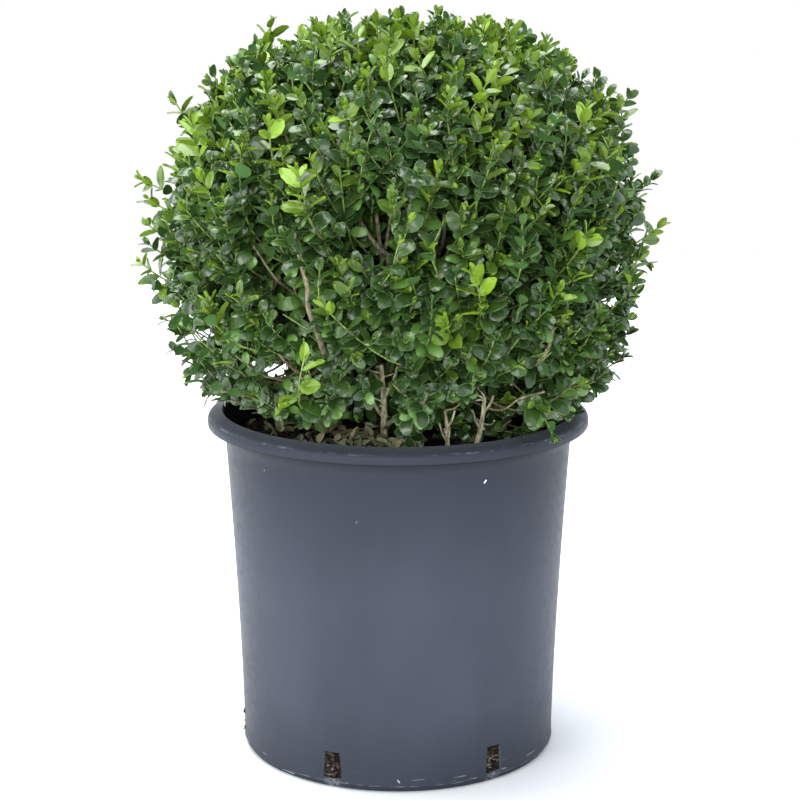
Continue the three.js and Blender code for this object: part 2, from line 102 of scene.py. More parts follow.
FLOOR_HOLE_RADIUS = 0.006
FLOOR_HOLE_RING = 0.092
FLOOR_HOLE_STEPS = 32
# How much paler the rim's top is: dust, and painted light where the rim lies in shade
RIM_DUST_AND_LIGHT = 0.2
RIM_CREST_Z = 0.3243
# Darker bands round the wall: height, reach to both sides and how dark each is. They are painted shade
# under the rim, a painted shadow under the skirt, and darker towards the foot
POT_SHADES = ((0.3, 0.12, 0.62), (0.311, 0.008, 0.5), (0.0, 0.075, 0.66))
NICK_SLIMNESS = 2.0
NICK_FRONT_Y = -0.08
# Nicks on the front of the pot: x, height, half length, lean to the right and how white each is
POT_NICKS = (
    (0.0774, 0.2922, 0.0017, 0.6, 1.0),
    (-0.1208, 0.2939, 0.0009, 0.0, 0.22),
    (-0.0367, 0.2584, 0.0012, 0.3, 0.14),
    (0.0005, 0.0112, 0.0018, -0.6, 0.4),
)

# Potting mix
MIX_RADIUS = 0.159
MIX_EDGE_Z = 0.3
MIX_SHOULDER_RADIUS = 0.096
MIX_SHOULDER_Z = 0.308
MIX_SEAT_RADIUS = 0.036
MIX_TOP_Z = 0.311
MIX_STEPS = 150
MIX_RINGS = 52
MIX_SIDE_RINGS = 20
MIX_RELIEF = (0.008, 0.0035)
MIX_EDGE_MARGIN = 0.002
CRUMB_FORM = (1, 0.62, 0.36)
CRUMB_UNEVENNESS = 0.09
CRUMB_LEAST = 0.0025
CRUMB_SPREAD = 0.0085
CRUMB_TILT = 0.35
CRUMB_RISE = 0.12
CRUMB_INSET = 0.004
# Dry leaves are narrower and more curled than green ones
LITTER_FORM = (0.6, 1.0, 1.6)
LITTER_LEAST = 0.0105
LITTER_SPREAD = 0.0055
LITTER_TILT = 0.6
LITTER_FOOT = 0.003
LITTER_HEIGHT = 0.004
LITTER_INSET = 0.012
# Dry leaves gathered at the front: mean azimuth and its spread, way in from the rim, and the heap's height
HEAP_AZIMUTH = -14
HEAP_AZIMUTH_SPREAD = 12
HEAP_INSET = 0.014
HEAP_DEPTH = 0.04
HEAP_FOOT = 0.002
HEAP_HEIGHT = 0.02
# Tones of the loose things: name, dark and pale colour, and scale of their patches
CRUMB_TONES = (
    ("crumb_dark", (0.01, 0.006, 0.004), (0.035, 0.02, 0.013), 90.0),
    ("crumb_brown", (0.03, 0.017, 0.01), (0.075, 0.045, 0.026), 90.0),
    ("crumb_red", (0.025, 0.013, 0.009), (0.06, 0.032, 0.02), 90.0),
)
LITTER_TONES = (
    ("litter_tan", (0.2, 0.17, 0.1), (0.4, 0.35, 0.22), 60.0),
    ("litter_brown", (0.07, 0.052, 0.032), (0.17, 0.128, 0.08), 60.0),
    ("litter_olive", (0.13, 0.155, 0.07), (0.28, 0.31, 0.17), 60.0),
)
LITTER_ODDS = (0.3, 0.2, 0.5)
SLOT_TONES = (
    ("slot_black", (0.004, 0.003, 0.002), (0.016, 0.011, 0.008), 90.0),
    ("slot_brown", (0.02, 0.012, 0.008), (0.07, 0.045, 0.03), 90.0),
    ("slot_red", (0.03, 0.015, 0.01), (0.09, 0.045, 0.028), 90.0),
    ("slot_grey", (0.05, 0.045, 0.04), (0.24, 0.22, 0.19), 160.0),
)
SLOT_ODDS = (0.62, 0.12, 0.1, 0.16)

# Wood
TRUNK_FLARE_RADIUS = 0.027
TRUNK_FLARE_HEIGHT = 0.016
TRUNK_RADIUS = 0.0155
TRUNK_KNUCKLE_RADIUS = 0.017
TRUNK_HEIGHT = 0.044
TRUNK_FLARE_POWER = 2.2
TRUNK_KNUCKLE_CHAMFER = 0.002
TRUNK_KNUCKLE_INSET = 0.0016
TRUNK_STEPS = 40
TRUNK_RINGS = 8
CLEARANCE = 0.0003
TRUNK_FOOT_Z = MIX_TOP_Z + CLEARANCE
TRUNK_TOP_Z = TRUNK_FOOT_Z + TRUNK_HEIGHT
BOUGH_ROOT_RADIUS = 0.0058
BOUGH_TIP_RADIUS = 0.004
BOUGH_ROOT_Z = 0.324
BOUGH_ROOT_STAGGER = 0.009
BOUGH_TIP_Z = 0.464
BOUGH_SPREAD = 0.9
BOUGH_SWAY_TURN = 0.8 * TURN
BOUGH_SHARES = (0, 0.18, 0.42, 0.7, 1)
LEADER_ROOT_RADIUS = 0.008
LEADER_TIP_RADIUS = 0.0045
LEADER_SWAY = 0.007
LEADER_LEAN = 0.004
LEADER_SHARES = (0, 0.3, 0.65, 1)
LIMB_END_GAP = 0.012
LIMB_SAMPLES = 40
# Relief of the bark: the size of its clouds and its strength
TRUNK_RELIEF = (0.009, 0.0026)
LIMB_RELIEF = (0.006, 0.0011)
BRANCH_RELIEF = (0.004, 0.0006)
STEM_RELIEF = (0.003, 0.0006)
# Knots: how many points of a limb they are apart, and how much they swell
LIMB_KNOTS = (5, 0.12)
BRANCH_KNOTS = (4, 0.16)
STEM_KNOTS = (5, 0.16)
PRONG_KNOTS = (4, 0.14)
# How much paler the barks are than that of the trunk
# The front stems are pale partly for their grey bark and partly as painted light in the crown's shade
STEM_PALENESS_AND_LIGHT = 2.8
BRANCH_PALENESS = 1.15
CURVE_STEPS = 16
MERGE_DISTANCE = 1e-6

# Clipped surface and masses
CROWN_CENTRE = np.array((0.005, 0.0, 0.504))
CROWN_HALF_WIDTH = 0.223
CROWN_HALF_HEIGHT = 0.2
CROWN_SQUARENESS_ABOVE = 2.6
CROWN_SQUARENESS_BELOW = 3
CROWN_RIPPLE = 0.011
# Ripples: how many run round the waist, how they wind with the rise, and where they start
CROWN_RIPPLES = ((3, 5, 0.0), (5, -4, 1.3))
MASS_ELEVATION = -4
HOLLOW_RADIUS = 0.096
HOLLOW_TOP = 0.088
CORE_REACH = 0.75

# Place of the eye, from which the seen gaps and sprigs are sighted
EYE = np.array((0.0018, -1.94715, 0.76122))
EYE_PITCH = 12.35
EYE_FOCUS = 0.09449
EYE_FILM = 0.036

# Boughs of the ring: side, azimuth, sway and belly
RING = (
    ("front", 8, 0.007, 0),
    ("right_front", 68, -0.008, 0.003),
    ("right_back", 128, 0.006, -0.002),
    ("back", 188, -0.007, 0.002),
    ("left_back", 248, 0.008, -0.003),
    ("left_front", 308, -0.006, 0.007),
)

# Bare stems at the front: foot, top, height, radius and the share of the height where each forks. Here they
# are taller than the frame's by STEM_GROWTH.
FRONT_STEMS = (
    ("stem_front_left", (-0.013, -0.098), (-0.015, -0.104), 0.062, 0.0036, 0.62),
    ("stem_front_right", (0.044, -0.112), (0.042, -0.114), 0.034, 0.0024, 0.6),
    ("stem_right", (0.07, -0.092), (0.078, -0.098), 0.04, 0.0028, 0.7),
)
STEM_BEND = 0.0015
STEM_TAPER = 0.55
STEM_GROWTH = 1.32
SIDE_TWIG_STEP = 0.0055
SIDE_TWIG_REACH = 0.015
SIDE_TWIG_STRETCH = 0.66
SIDE_TWIG_WAY = (-0.5, 0.8)
SIDE_TWIG_STRAY = 0.5
SIDE_TWIG_LEAST = 0.3
SIDE_TWIG_BOW = 0.002
SIDE_TWIG_RADII = (0.0009, 0.0006)
SIDE_TWIG_SAMPLES = 8
STEM_SAMPLES = 22
STEM_SWELL = 0.35
PRONG_SPREAD = 0.22
PRONG_RADIUS = 0.5
PRONG_UNEVEN = 0.14
PRONG_START = 0.12
PRONG_RISE = 0.8
PRONG_FORWARD = 0.003
PRONG_BEND = (0.6, 0.5, 0.45)
PRONG_TIP_RADIUS = 0.34
PRONG_SAMPLES = 12

# Daylight through the crown, seen from the front: x, height and radius on the plane through its middle
SKY_GAPS = (
    (-0.12, 0.361, 0.0045),
    (-0.111, 0.3645, 0.005),
    (-0.19, 0.397, 0.003),
    (-0.177, 0.4, 0.003),
    (-0.194, 0.416, 0.002),
    (-0.182, 0.357, 0.002),
    (-0.161, 0.361, 0.002),
    (-0.152, 0.374, 0.002),
    (-0.111, 0.42, 0.002),
    (-0.111, 0.408, 0.002),
    (-0.088, 0.422, 0.001),
    (0.198, 0.429, 0.003),
    (0.161, 0.42, 0.001),
    (0.158, 0.382, 0.002),
    (0.14, 0.403, 0.001),
    (0.15, 0.388, 0.001),
    (0.199, 0.443, 0.001),
)

# Open places over the pot's mouth, seen from the front: x, height and radius as above
MOUTH_GAPS = (
    (-0.155, 0.3245, 0.006),
    (-0.139, 0.317, 0.007),
    (-0.12, 0.31, 0.007),
    (-0.101, 0.306, 0.006),
    (-0.08, 0.303, 0.005),
    (-0.058, 0.302, 0.004),
    (-0.05, 0.309, 0.006),
    (-0.032, 0.311, 0.005),
    (-0.035, 0.3, 0.003),
    (0.026, 0.302, 0.003),
    (0.105, 0.307, 0.003),
    (0.113, 0.315, 0.005),
)

# Dark hollows at the front, where the outer leaves stand apart: x, height, radius and depth of the hollow
DARK_HOLLOWS = (
    (-0.1, 0.44, 0.02, 0.04),
    (-0.122, 0.456, 0.019, 0.05),
    (-0.1, 0.4, 0.013, 0.035),
    (-0.104, 0.366, 0.015, 0.05),
    (-0.117, 0.345, 0.013, 0.05),
    (-0.017, 0.49, 0.009, 0.03),
    (0.044, 0.488, 0.009, 0.03),
    (0.12, 0.45, 0.009, 0.03),
    (0.11, 0.38, 0.009, 0.03),
)

# Young sprigs seen from the front: x and height on the plane through the middle, and reach past the surface
YOUNG_SPRIGS = (
    (-0.014, 0.434, 1.05),
    (-0.093, 0.553, 1.0),
    (-0.088, 0.377, 1.0),
    (-0.088, 0.352, 1.0),
    (-0.095, 0.329, 0.97),
    (0.043, 0.412, 1.0),
    (0.07, 0.46, 1.0),
    (0.179, 0.495, 1.0),
    (0.152, 0.443, 1.0),
    (-0.2, 0.435, 1.0),
    (-0.179, 0.433, 1.0),
    (-0.191, 0.6, 1.0),
)

# Sprigs that the shears missed: azimuth, elevation and how far they reach past the clipped surface
LONG_SPRIGS = (
    (140, 12, 1.05),
    (200, -8, 1.04),
    (60, 80, 1.02),
    (80, 62, 1.02),
    (82, 30, 1.03),
    (-140, 40, 1.03),
)

# Shoots whose foot and tip the front shows: x and height of each on the plane through the middle, the depth
# of each, and how strongly the shoot grows
SEEN_SHOOTS = (
    ((-0.185, 0.532), (-0.24, 0.545), 0.0, 0.0, "fair"),
    ((-0.19, 0.44), (-0.242, 0.468), 0.01, 0.0, "strong"),
    ((-0.19, 0.482), (-0.236, 0.505), 0.0, 0.01, "fair"),
    ((0.17, 0.462), (0.246, 0.502), -0.02, -0.01, "fair"),
    ((0.19, 0.515), (0.238, 0.548), 0.0, 0.0, "slow"),
    ((0.14, 0.39), (0.192, 0.37), -0.02, -0.015, "shaded"),
    ((0.14, 0.362), (0.188, 0.346), -0.03, -0.02, "shaded"),
    ((0.12, 0.352), (0.175, 0.338), -0.04, -0.035, "shaded"),
    ((-0.145, 0.352), (-0.182, 0.34), -0.02, -0.01, "shaded"),
    ((-0.06, 0.66), (-0.05, 0.697), 0.0, 0.0, "shaded"),
    ((-0.12, 0.645), (-0.115, 0.69), 0.0, 0.0, "strong"),
    ((-0.15, 0.61), (-0.17, 0.645), 0.0, 0.0, "slow"),
    ((0.03, 0.66), (0.036, 0.694), -0.03, -0.04, "slow"),
    ((0.08, 0.65), (0.09, 0.683), 0.0, 0.0, "fair"),
    ((0.115, 0.345), (0.149, 0.298), -0.1, -0.134, "slow"),
    ((0.125, 0.35), (0.163, 0.318), -0.08, -0.11, "shaded"),
    ((-0.07, 0.352), (-0.112, 0.328), -0.145, -0.16, "strong"),
    ((-0.17, 0.585), (-0.207, 0.618), 0.0, 0.0, "fair"),
    ((0.18, 0.59), (0.214, 0.624), 0.0, 0.0, "slow"),
    ((-0.182, 0.508), (-0.233, 0.527), 0.0, 0.0, "fair"),
    ((-0.185, 0.462), (-0.236, 0.487), 0.01, 0.01, "slow"),
    ((-0.18, 0.424), (-0.231, 0.45), -0.01, 0.0, "slow"),
    ((-0.178, 0.44), (-0.226, 0.434), 0.01, 0.01, "shaded"),
    ((-0.165, 0.408), (-0.221, 0.413), -0.01, -0.01, "shaded"),
    ((-0.16, 0.378), (-0.213, 0.386), -0.01, 0.0, "shaded"),
    ((-0.155, 0.356), (-0.2, 0.358), -0.02, -0.01, "shaded"),
    ((0.185, 0.475), (0.235, 0.465), 0.0, 0.0, "slow"),
)

# Bare wood that the front shows: the limb that it leaves and where along it, its radii at both ends, how far
# the leaves before it stand apart, between which shares of its length it shows, and its course: x and height
# on the plane through the middle, and depth
SEEN_WOOD = (
    (6, 8, 0.0044, 0.0018, 0.003, 0.58, 0.8, (
        (-0.05, 0.345, -0.1), (-0.062, 0.365, -0.125), (-0.0735, 0.392, -0.15), (-0.079, 0.408, -0.158),
        (-0.0845, 0.425, -0.163), (-0.085, 0.445, -0.17), (-0.0905, 0.466, -0.177), (-0.097, 0.495, -0.18),
    )),
    (1, 20, 0.0028, 0.0016, 0.0035, 0.6, 0.9, (
        (-0.011, 0.45, -0.1), (-0.016, 0.475, -0.13), (-0.021, 0.52, -0.15),
    )),
    (1, 24, 0.0022, 0.0012, 0.002, 0.6, 0.9, (
        (-0.012, 0.468, -0.12), (-0.01, 0.49, -0.135), (-0.006, 0.515, -0.145),
    )),
    (1, 30, 0.0026, 0.0014, 0.0025, 0.5, 0.8, (
        (0.038, 0.475, -0.12), (0.0425, 0.49, -0.14), (0.043, 0.53, -0.15),
    )),
    (2, 10, 0.0014, 0.0009, 0.003, 0.5, 1.0, (
        (0.097, 0.325, -0.11), (0.115, 0.336, -0.125), (0.139, 0.343, -0.135),
    )),
    (2, 25, 0.0024, 0.0017, 0.0025, 0.72, 1.0, (
        (0.125, 0.37, -0.11), (0.142, 0.386, -0.14), (0.146, 0.405, -0.147),
    )),
    (6, 12, 0.0024, 0.0014, 0.003, 0.5, 0.9, (
        (-0.09, 0.36, -0.09), (-0.104, 0.37, -0.1), (-0.122, 0.392, -0.11),
    )),
    (6, 25, 0.0014, 0.0009, 0.001, 0.5, 0.7, (
        (-0.1, 0.44, -0.1), (-0.115, 0.452, -0.12), (-0.135, 0.482, -0.13),
    )),
)

# Shoots and leaves
GOLDEN = math.pi * (3 - math.sqrt(5))
# Distances from the eye at which a line of sight is looked at, and how many
SIGHT_RUNS = (1.6, 2.4, 900)
SHOOT_LIFT = 1.2
SHOOT_OUTWARD = 0.75
# The lowest shoots turn up less: the share of the lift there, where it starts to grow, and over which rise
LIFT_LEAST = 0.62
LIFT_LOW_RISE = -0.9
LIFT_RISES = 1.1
BRANCHES = 92
BRANCH_REACH = 0.66
BRANCH_LEAST = 0.9
BRANCH_SPREAD = 0.2
BRANCH_SIDES = 6
BRANCH_POINTS = 12
BRANCH_RADII = (0.0024, 0.0013)
BRANCH_SWAY = 0.014
BRANCH_SAG = 0.012
BRANCH_UPTURN = 0.02
BRANCH_ABOVE_RIM = 0.015
MASS_STEM_LEAD = 0.012
MASS_STEM_TAPER = 0.7
# Points of a bough and of a mass's stem from which branches fork. Those that end lower than the mass's middle
# by LOW_BRANCH fork from the bough
BOUGH_FORKS = (12, 30)
MASS_STEM_FORKS = (3, 12)
LOW_BRANCH = 0.02
TWIG_SIDES = 4
# Points of a twig up to its shoot's foot and from there to the tip, and its radii at its root, foot and tip
LEAD_POINTS = 4
SHOOT_POINTS = 6
TWIG_RADII = (0.0011, 0.0009, 0.00065)
TWIG_LEAD = 0.7
TWIG_BROWN = (0.29, 0.24, 0.16)
# How far shoots stray from their way at the tip and at the foot, and the shares of the length in both halves
TIP_STRAY = 0.27
FOOT_STRAY = 0.15
FOOT_TURN = 0.4
UPPER_HALF = 0.6
LOWER_HALF = 0.45
MOUTH_RADIUS = 0.162
MOUTH_TIP_Z = 0.322
TIP_ABOVE_RIM = 0.008
SPRIG_LENGTH = 0.1
SPRIG_TIP_LEAVES = 0.045
SEEN_BOW = 0.008
SEEN_BULGE = 0.004
STEM_CLEARING = 0.009
FOOT_ABOVE_MIX = 0.007
BEND_LIFT = 1.3
FOOT_INSIDE_RIM = 0.006
SKIRT_SHOOTS = 130
SKIRT_RADIUS = 0.12
SKIRT_BAND = 0.034
SKIRT_TIP_Z = 0.332
SKIRT_TIP_RISE = 0.032
SKIRT_LENGTH = 0.05
DRY_TWIGS_BELOW = 0.42
ROOT_CHOICE = 0.8
WOOD_SAMPLES = 28
LEAVES_BEFORE_WOOD = 0.07
LEAF_MARGIN = 0.004
LEAF_ABOVE_RIM = 0.0025
LEAF_PAST_RIM = 0.003
# Leaves keep clear of a gap by a share of their length, which is less at the smallest gaps
GAP_MARGIN = 0.3
GAP_MARGIN_SLOPE = 75
WOOD_MARGIN = 0.2
# Radius from which a gap in the leaves is clear of twigs too, and how much wider twigs pass hollows and wood
TWIG_GAP_RADIUS = 0.0015
TWIG_HOLLOW = 0.8
TWIG_WOOD = 1.3
# Leaves this far out or further get a pale edge, which is a painted highlight along their margins
EDGED_FROM = 0.8
# Reach of the outer tips as shares of the clipped surface, at rises from the bottom of the crown to its top
TIP_RISES = (-0.85, -0.3, 0.3, 0.8)
TIP_REACHES = (1.03, 1.01, 0.99, 0.965)
TIP_SPREAD = 0.1
TIP_UNEVENNESS = 0.35
# Distances of the leaf pairs from a shoot's tip, their sizes, their angles with the shoot in degrees, and the
# share of their leaves that have dropped
PAIR_PLACES = (0.001, 0.0055, 0.0135, 0.0225, 0.032, 0.0415, 0.0505, 0.059, 0.067, 0.075)
PAIR_SIZES = (0.34, 0.68, 0.92, 1.02, 1.02, 1.0, 0.98, 0.95, 0.92, 0.88)
PAIR_ANGLES = (16, 36, 50, 56, 58, 60, 62, 66, 70, 74)
PAIR_LOSSES = (0, 0, 0.02, 0.03, 0.05, 0.08, 0.12, 0.2, 0.32, 0.46)
PAIR_STRETCH_LEAST = 0.94
PAIR_STRETCH_SPREAD = 0.14
PAIR_TURN_STRAY = 0.16
ANGLE_SPREAD = 13
ANGLE_LIMITS = (8, 115)
LEAF_DROOP = 0.1
LEAF_TO_LIGHT = 0.42
LEAF_LIGHT_OUTWARD = 0.3
LEAF_ROLL = 0.52
LEAF_SIZE_LEAST = 0.74
LEAF_SIZE_SPREAD = 0.38
LEAF_WIDTH_LEAST = 0.8
LEAF_WIDTH_SPREAD = 0.34
LEAFLESS_FOOT = 0.04
TONE_SHIFT = 0.1
SEED = 20

# Forms of leaf: stations from the stalk to the tip, half widths, lifts and the rise of the midrib
GROWN_FORM = (
    (0.0, 0.14, 0.4, 0.7, 0.92, 0.99),
    (0.0, 0.33, 0.5, 0.46, 0.27, 0.0),
    (0, 0.045, 0.085, 0.06, -0.02, -0.06),
    0.055,
)
YOUNG_FORM = (
    (0.0, 0.15, 0.42, 0.73, 0.93, 1.0),
    (0.0, 0.27, 0.43, 0.37, 0.17, 0.0),
    (0, 0.035, 0.055, 0.04, 0.0, -0.03),
    -0.08,
)
LEAF_EDGE = 0.81
LEAF_NEAR = 0.01
LEAF_ROW_ASIDE = 10
BLADE_THICKNESS = 0.02
LEAF_SPECULAR = 0.62
# The leaf's pale edge is a painted highlight along its margin
EDGE_HIGHLIGHT_PALENESS = 3.3
EDGE_HIGHLIGHT_TINT = (2.6, 1.8, 2.6)

# Tones of leaf: name, share of the settings' colours and brightness, roughness and whether it is a young leaf
TONES = (
    # The deep tone is brighter than the dark and grown ones: painted light that lifts the shade deep in the
    # crown
    ("leaf_deep", 0.08, 2.4, 0.3, False),
    ("leaf_dark", 0.0, 0.88, 0.22, False),
    ("leaf_grown", 0.07, 0.97, 0.2, False),
    ("leaf_fresh", 0.28, 1.0, 0.22, True),
    ("leaf_bright", 0.58, 1.05, 0.26, True),
    ("leaf_newest", 1.0, 1.1, 0.36, True),
)
DEEP, DARK, GROWN, FRESH, BRIGHT, NEWEST = range(6)

# The tones down a shoot from its tip, for shoots that grow strongly, fairly and slowly, those in the shade
# and inside, and the tender ones
SHOOT_TONES = np.array(
    (
        (NEWEST, BRIGHT, BRIGHT, FRESH, FRESH, GROWN, GROWN, DARK, DARK, DARK),
        (BRIGHT, FRESH, FRESH, GROWN, GROWN, DARK, DARK, DARK, DARK, DEEP),
        (FRESH, GROWN, GROWN, DARK, DARK, DARK, DARK, DARK, DEEP, DEEP),
        (GROWN, DARK, DARK, DARK, DARK, DEEP, DEEP, DEEP, DEEP, DEEP),
        (DARK, DEEP, DARK, DEEP, DEEP, DEEP, DEEP, DEEP, DEEP, DEEP),
        (NEWEST, NEWEST, NEWEST, BRIGHT, BRIGHT, FRESH, GROWN, DARK, DARK, DARK),
    )
)
SHOOT_KINDS = ("strong", "fair", "slow", "shaded", "inner", "tender")
STRONG, FAIR, SLOW, SHADED, INNER, TENDER = range(6)
VIGOUR = np.array((1.08, 1.0, 0.92, 0.88, 0.95, 1.24))

# Shoots of the clipped surface: jitter of their ways, lowest and highest place within the spread of their
# tips, lengths, and one kind, in place of which the rise gives each its own, by these steps between the kinds
OUTER_RING = (0.026, -1, 0, (0.075, 0.105), (STRONG,), (1.0,))
KIND_STEPS = (0.13, 0.4, 0.74)
# Higher up, shoots are more often strong with bright young leaves: partly young growth, partly painted light
# on the top
KIND_BY_RISE = 0.3
KIND_SHIFT = 0.12
# Rings of shoots further in: one for how many inner shoots, jitter of their ways, lowest and highest share of
# the clipped surface, lengths, kinds and their odds
INNER_RINGS = (
    (1, 0.05, 0.68, 0.85, (0.07, 0.09), (SLOW, SHADED, INNER), (0.1, 0.4, 0.5)),
    (2, 0.07, 0.42, 0.68, (0.06, 0.08), (INNER,), (1.0,)),
)
SKIRT_KINDS = (FAIR, SLOW, SHADED, INNER)
SKIRT_ODDS = (0.1, 0.2, 0.35, 0.35)

# Studio
FLOOR_SIZE = 6
FLOOR_FADE = (0.15, 0.4)
FLOOR_GLOW = 0.5
LAMP_AIM = (0, 0, 0.4)
# Lamps: name, place, size and share of the power
LAMPS = (
    ("overhead", (-0.4, 0.3, 2.5), 2.2, 1.0),
    ("left", (-2.3, 0.4, 1.5), 1.6, 0.13),
    ("right", (2.3, 0.4, 1.2), 1.6, 0.1),
    ("front", (-0.2, -3.0, 1.2), 1.4, 0.24),
    ("front_left", (-1.8, -2.2, 1.2), 1.4, 0.36),
)


class BoxBallPot(bpy.types.PropertyGroup):
    """The nursery pot and what fills it"""

    plastic: FloatVectorProperty(
        name="Plastic", description="Colour of the pot", subtype="COLOR", size=3,
        default=(0.0462, 0.0535, 0.0722),
    )
    # Also the colour of the painted highlight on the crest and of the painted light on the rim's top
    worn_plastic_and_light: FloatVectorProperty(
        name="Worn plastic", description="Colour of scuffs and specks", subtype="COLOR", size=3,
        default=(0.5, 0.52, 0.55),
    )
    mix: FloatVectorProperty(
        name="Potting mix", description="Colour of the mix", subtype="COLOR", size=3,
        default=(0.03, 0.02, 0.013),
    )
    crumbs: IntProperty(name="Crumbs", description="Pieces of bark on the mix", default=1700, min=0)
    litter: IntProperty(name="Litter", description="Dry leaves on the mix", default=340, min=0)


class BoxBallPlant(bpy.types.PropertyGroup):
    """The wood and the leaves"""

    bark: FloatVectorProperty(
        name="Bark", description="Colour of old bark", subtype="COLOR", size=3, default=(0.33, 0.27, 0.18)
    )
    green_wood: FloatVectorProperty(
        name="Green wood", description="Colour of this year's twigs", subtype="COLOR", size=3,
        default=(0.25, 0.38, 0.08),
    )
    leaf: FloatVectorProperty(
        name="Leaf", description="Colour of a grown leaf", subtype="COLOR", size=3,
        default=(0.033, 0.0765, 0.0178),
    )
    young_leaf: FloatVectorProperty(
        name="Young leaf", description="Colour of the newest leaves", subtype="COLOR", size=3,
        default=(0.232, 0.385, 0.026),
    )
    outer_shoots: IntProperty(
        name="Outer shoots", description="Shoots that reach the surface", default=1350, min=50
    )
    inner_shoots: IntProperty(name="Inner shoots", description="Shoots further in", default=500, min=0)
    leaf_length: FloatProperty(
        name="Leaf length", description="Length of a grown leaf", default=0.0203, unit="LENGTH", min=0.005
    )
    leaf_width: FloatProperty(
        name="Leaf width", description="Width of a grown leaf", default=0.0132, unit="LENGTH", min=0.003
    )


class BoxBallStudio(bpy.types.PropertyGroup):
    """The floor, the lights and the camera"""

    sky: FloatProperty(name="Sky", description="Light of the surroundings", default=0.83, min=0)
    sheen: FloatProperty(
        name="Sheen", description="Surroundings as glossy leaves mirror them", default=1.15, min=0
    )
    tint: FloatVectorProperty(
        name="Tint", description="Colour of the surroundings", subtype="COLOR", size=3,
        default=(0.86, 0.93, 1.0),
    )
    key: FloatProperty(
        name="Key", description="Power of the light overhead", default=87.0, min=0, unit="POWER"
    )
    floor: FloatVectorProperty(
        name="Floor", description="Colour of the floor", subtype="COLOR", size=3, default=(0.96, 0.97, 0.99)
    )


# Operators act on what is selected, so each step selects just what it works on

def deselect():
    bpy.ops.object.select_all(action="DESELECT")


def select(piece):
    deselect()
    piece.select_set(True)
    bpy.context.view_layer.objects.active = piece


def edit(piece, wanted=None):
    """Edit mode with only the vertices selected that pass a test of their place, or all of them."""
    select(piece)
    bpy.ops.object.mode_set(mode="EDIT")
    bpy.ops.mesh.select_mode(type="VERT")
    bpy.ops.mesh.select_all(action="DESELECT")
    bpy.ops.object.mode_set(mode="OBJECT")
    for vertex in piece.data.vertices:
        vertex.select = wanted is None or wanted(vertex.co)
    bpy.ops.object.mode_set(mode="EDIT")


def leave_edit():
    bpy.ops.object.mode_set(mode="OBJECT")


def apply_modifier(piece, kind, **values):
    select(piece)
    bpy.ops.object.modifier_add(type=kind)
    modifier = piece.modifiers[-1]
    for name, value in values.items():
        setattr(modifier, name, value)
    bpy.ops.object.modifier_apply(modifier=modifier.name)


def apply_place(piece):
    select(piece)
    bpy.ops.object.transform_apply(location=True, rotation=True, scale=True)


def smooth(piece, degrees):
    select(piece)
    bpy.ops.object.shade_smooth_by_angle(angle=math.radians(degrees))


def finish_piece(piece, name, materials, replaced=()):
    piece.name = name
    piece.data.name = name
    for material in materials:
        piece.data.materials.append(material)
    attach(piece, "root")
    if replaced:
        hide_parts(*replaced)
    return piece


def join(pieces):
    deselect()
    for piece in pieces:
        piece.select_set(True)
    bpy.context.view_layer.objects.active = pieces[0]
    bpy.ops.object.join()
    return bpy.context.view_layer.objects.active


def relief(piece, size, strength, wanted=None, depth=2):
    """Cloudy relief on the whole piece, or on the vertices that pass a test of their place."""
    clouds = bpy.data.textures.new("relief", "CLOUDS")
    clouds.noise_scale = size
    clouds.noise_depth = depth
    values = {"texture": clouds, "strength": strength, "mid_level": 0.5}
    if wanted:
        edit(piece, wanted)
        bpy.ops.object.vertex_group_add()
        bpy.ops.object.vertex_group_assign()
        leave_edit()
        values["vertex_group"] = piece.vertex_groups[0].name
    apply_modifier(piece, "DISPLACE", **values)


def turned(profile, steps):
    """A piece of revolution about Z: one point is drawn out along the profile, which is then spun round."""
    deselect()
    bpy.ops.mesh.primitive_plane_add(size=0.001)
    piece = bpy.context.object
    bpy.ops.object.mode_set(mode="EDIT")
    bpy.ops.mesh.merge(type="CENTER")
    radius, z = profile[0]
    bpy.ops.transform.translate(value=(radius, 0, z))
    for next_radius, next_z in profile[1:]:
        step = (next_radius - radius, 0, next_z - z)
        bpy.ops.mesh.extrude_region_move(TRANSFORM_OT_translate={"value": step})
        radius, z = next_radius, next_z
    bpy.ops.mesh.select_all(action="SELECT")
    bpy.ops.mesh.spin(steps=steps, angle=TURN, center=(0, 0, 0), axis=(0, 0, 1), use_auto_merge=True)
    bpy.ops.mesh.select_all(action="SELECT")
    bpy.ops.mesh.remove_doubles(threshold=MERGE_DISTANCE)
    bpy.ops.mesh.normals_make_consistent(inside=False)
    leave_edit()
    return piece


# Shapes in arrays

def unit(vectors):
    return vectors / np.maximum(np.linalg.norm(vectors, axis=-1, keepdims=True), 1e-12)


def heading(azimuth, elevation):
    """A unit vector, with azimuth 0 to the front (-Y) and 90 to the right (+X)."""
    a = math.radians(azimuth)
    e = math.radians(elevation)
    return np.array((math.sin(a) * math.cos(e), -math.cos(a) * math.cos(e), math.sin(e)))


def wall_radius(z):
    rise = min(z, POT_WALL_TOP_Z) / POT_WALL_TOP_Z
    return POT_WALL_FOOT_RADIUS + (POT_WALL_TOP_RADIUS - POT_WALL_FOOT_RADIUS) * rise ** POT_WALL_CURVE


def mix_height(radius):
    places = (MIX_SEAT_RADIUS, MIX_SHOULDER_RADIUS, MIX_RADIUS)
    return np.interp(radius, places, (MIX_TOP_Z, MIX_SHOULDER_Z, MIX_EDGE_Z))


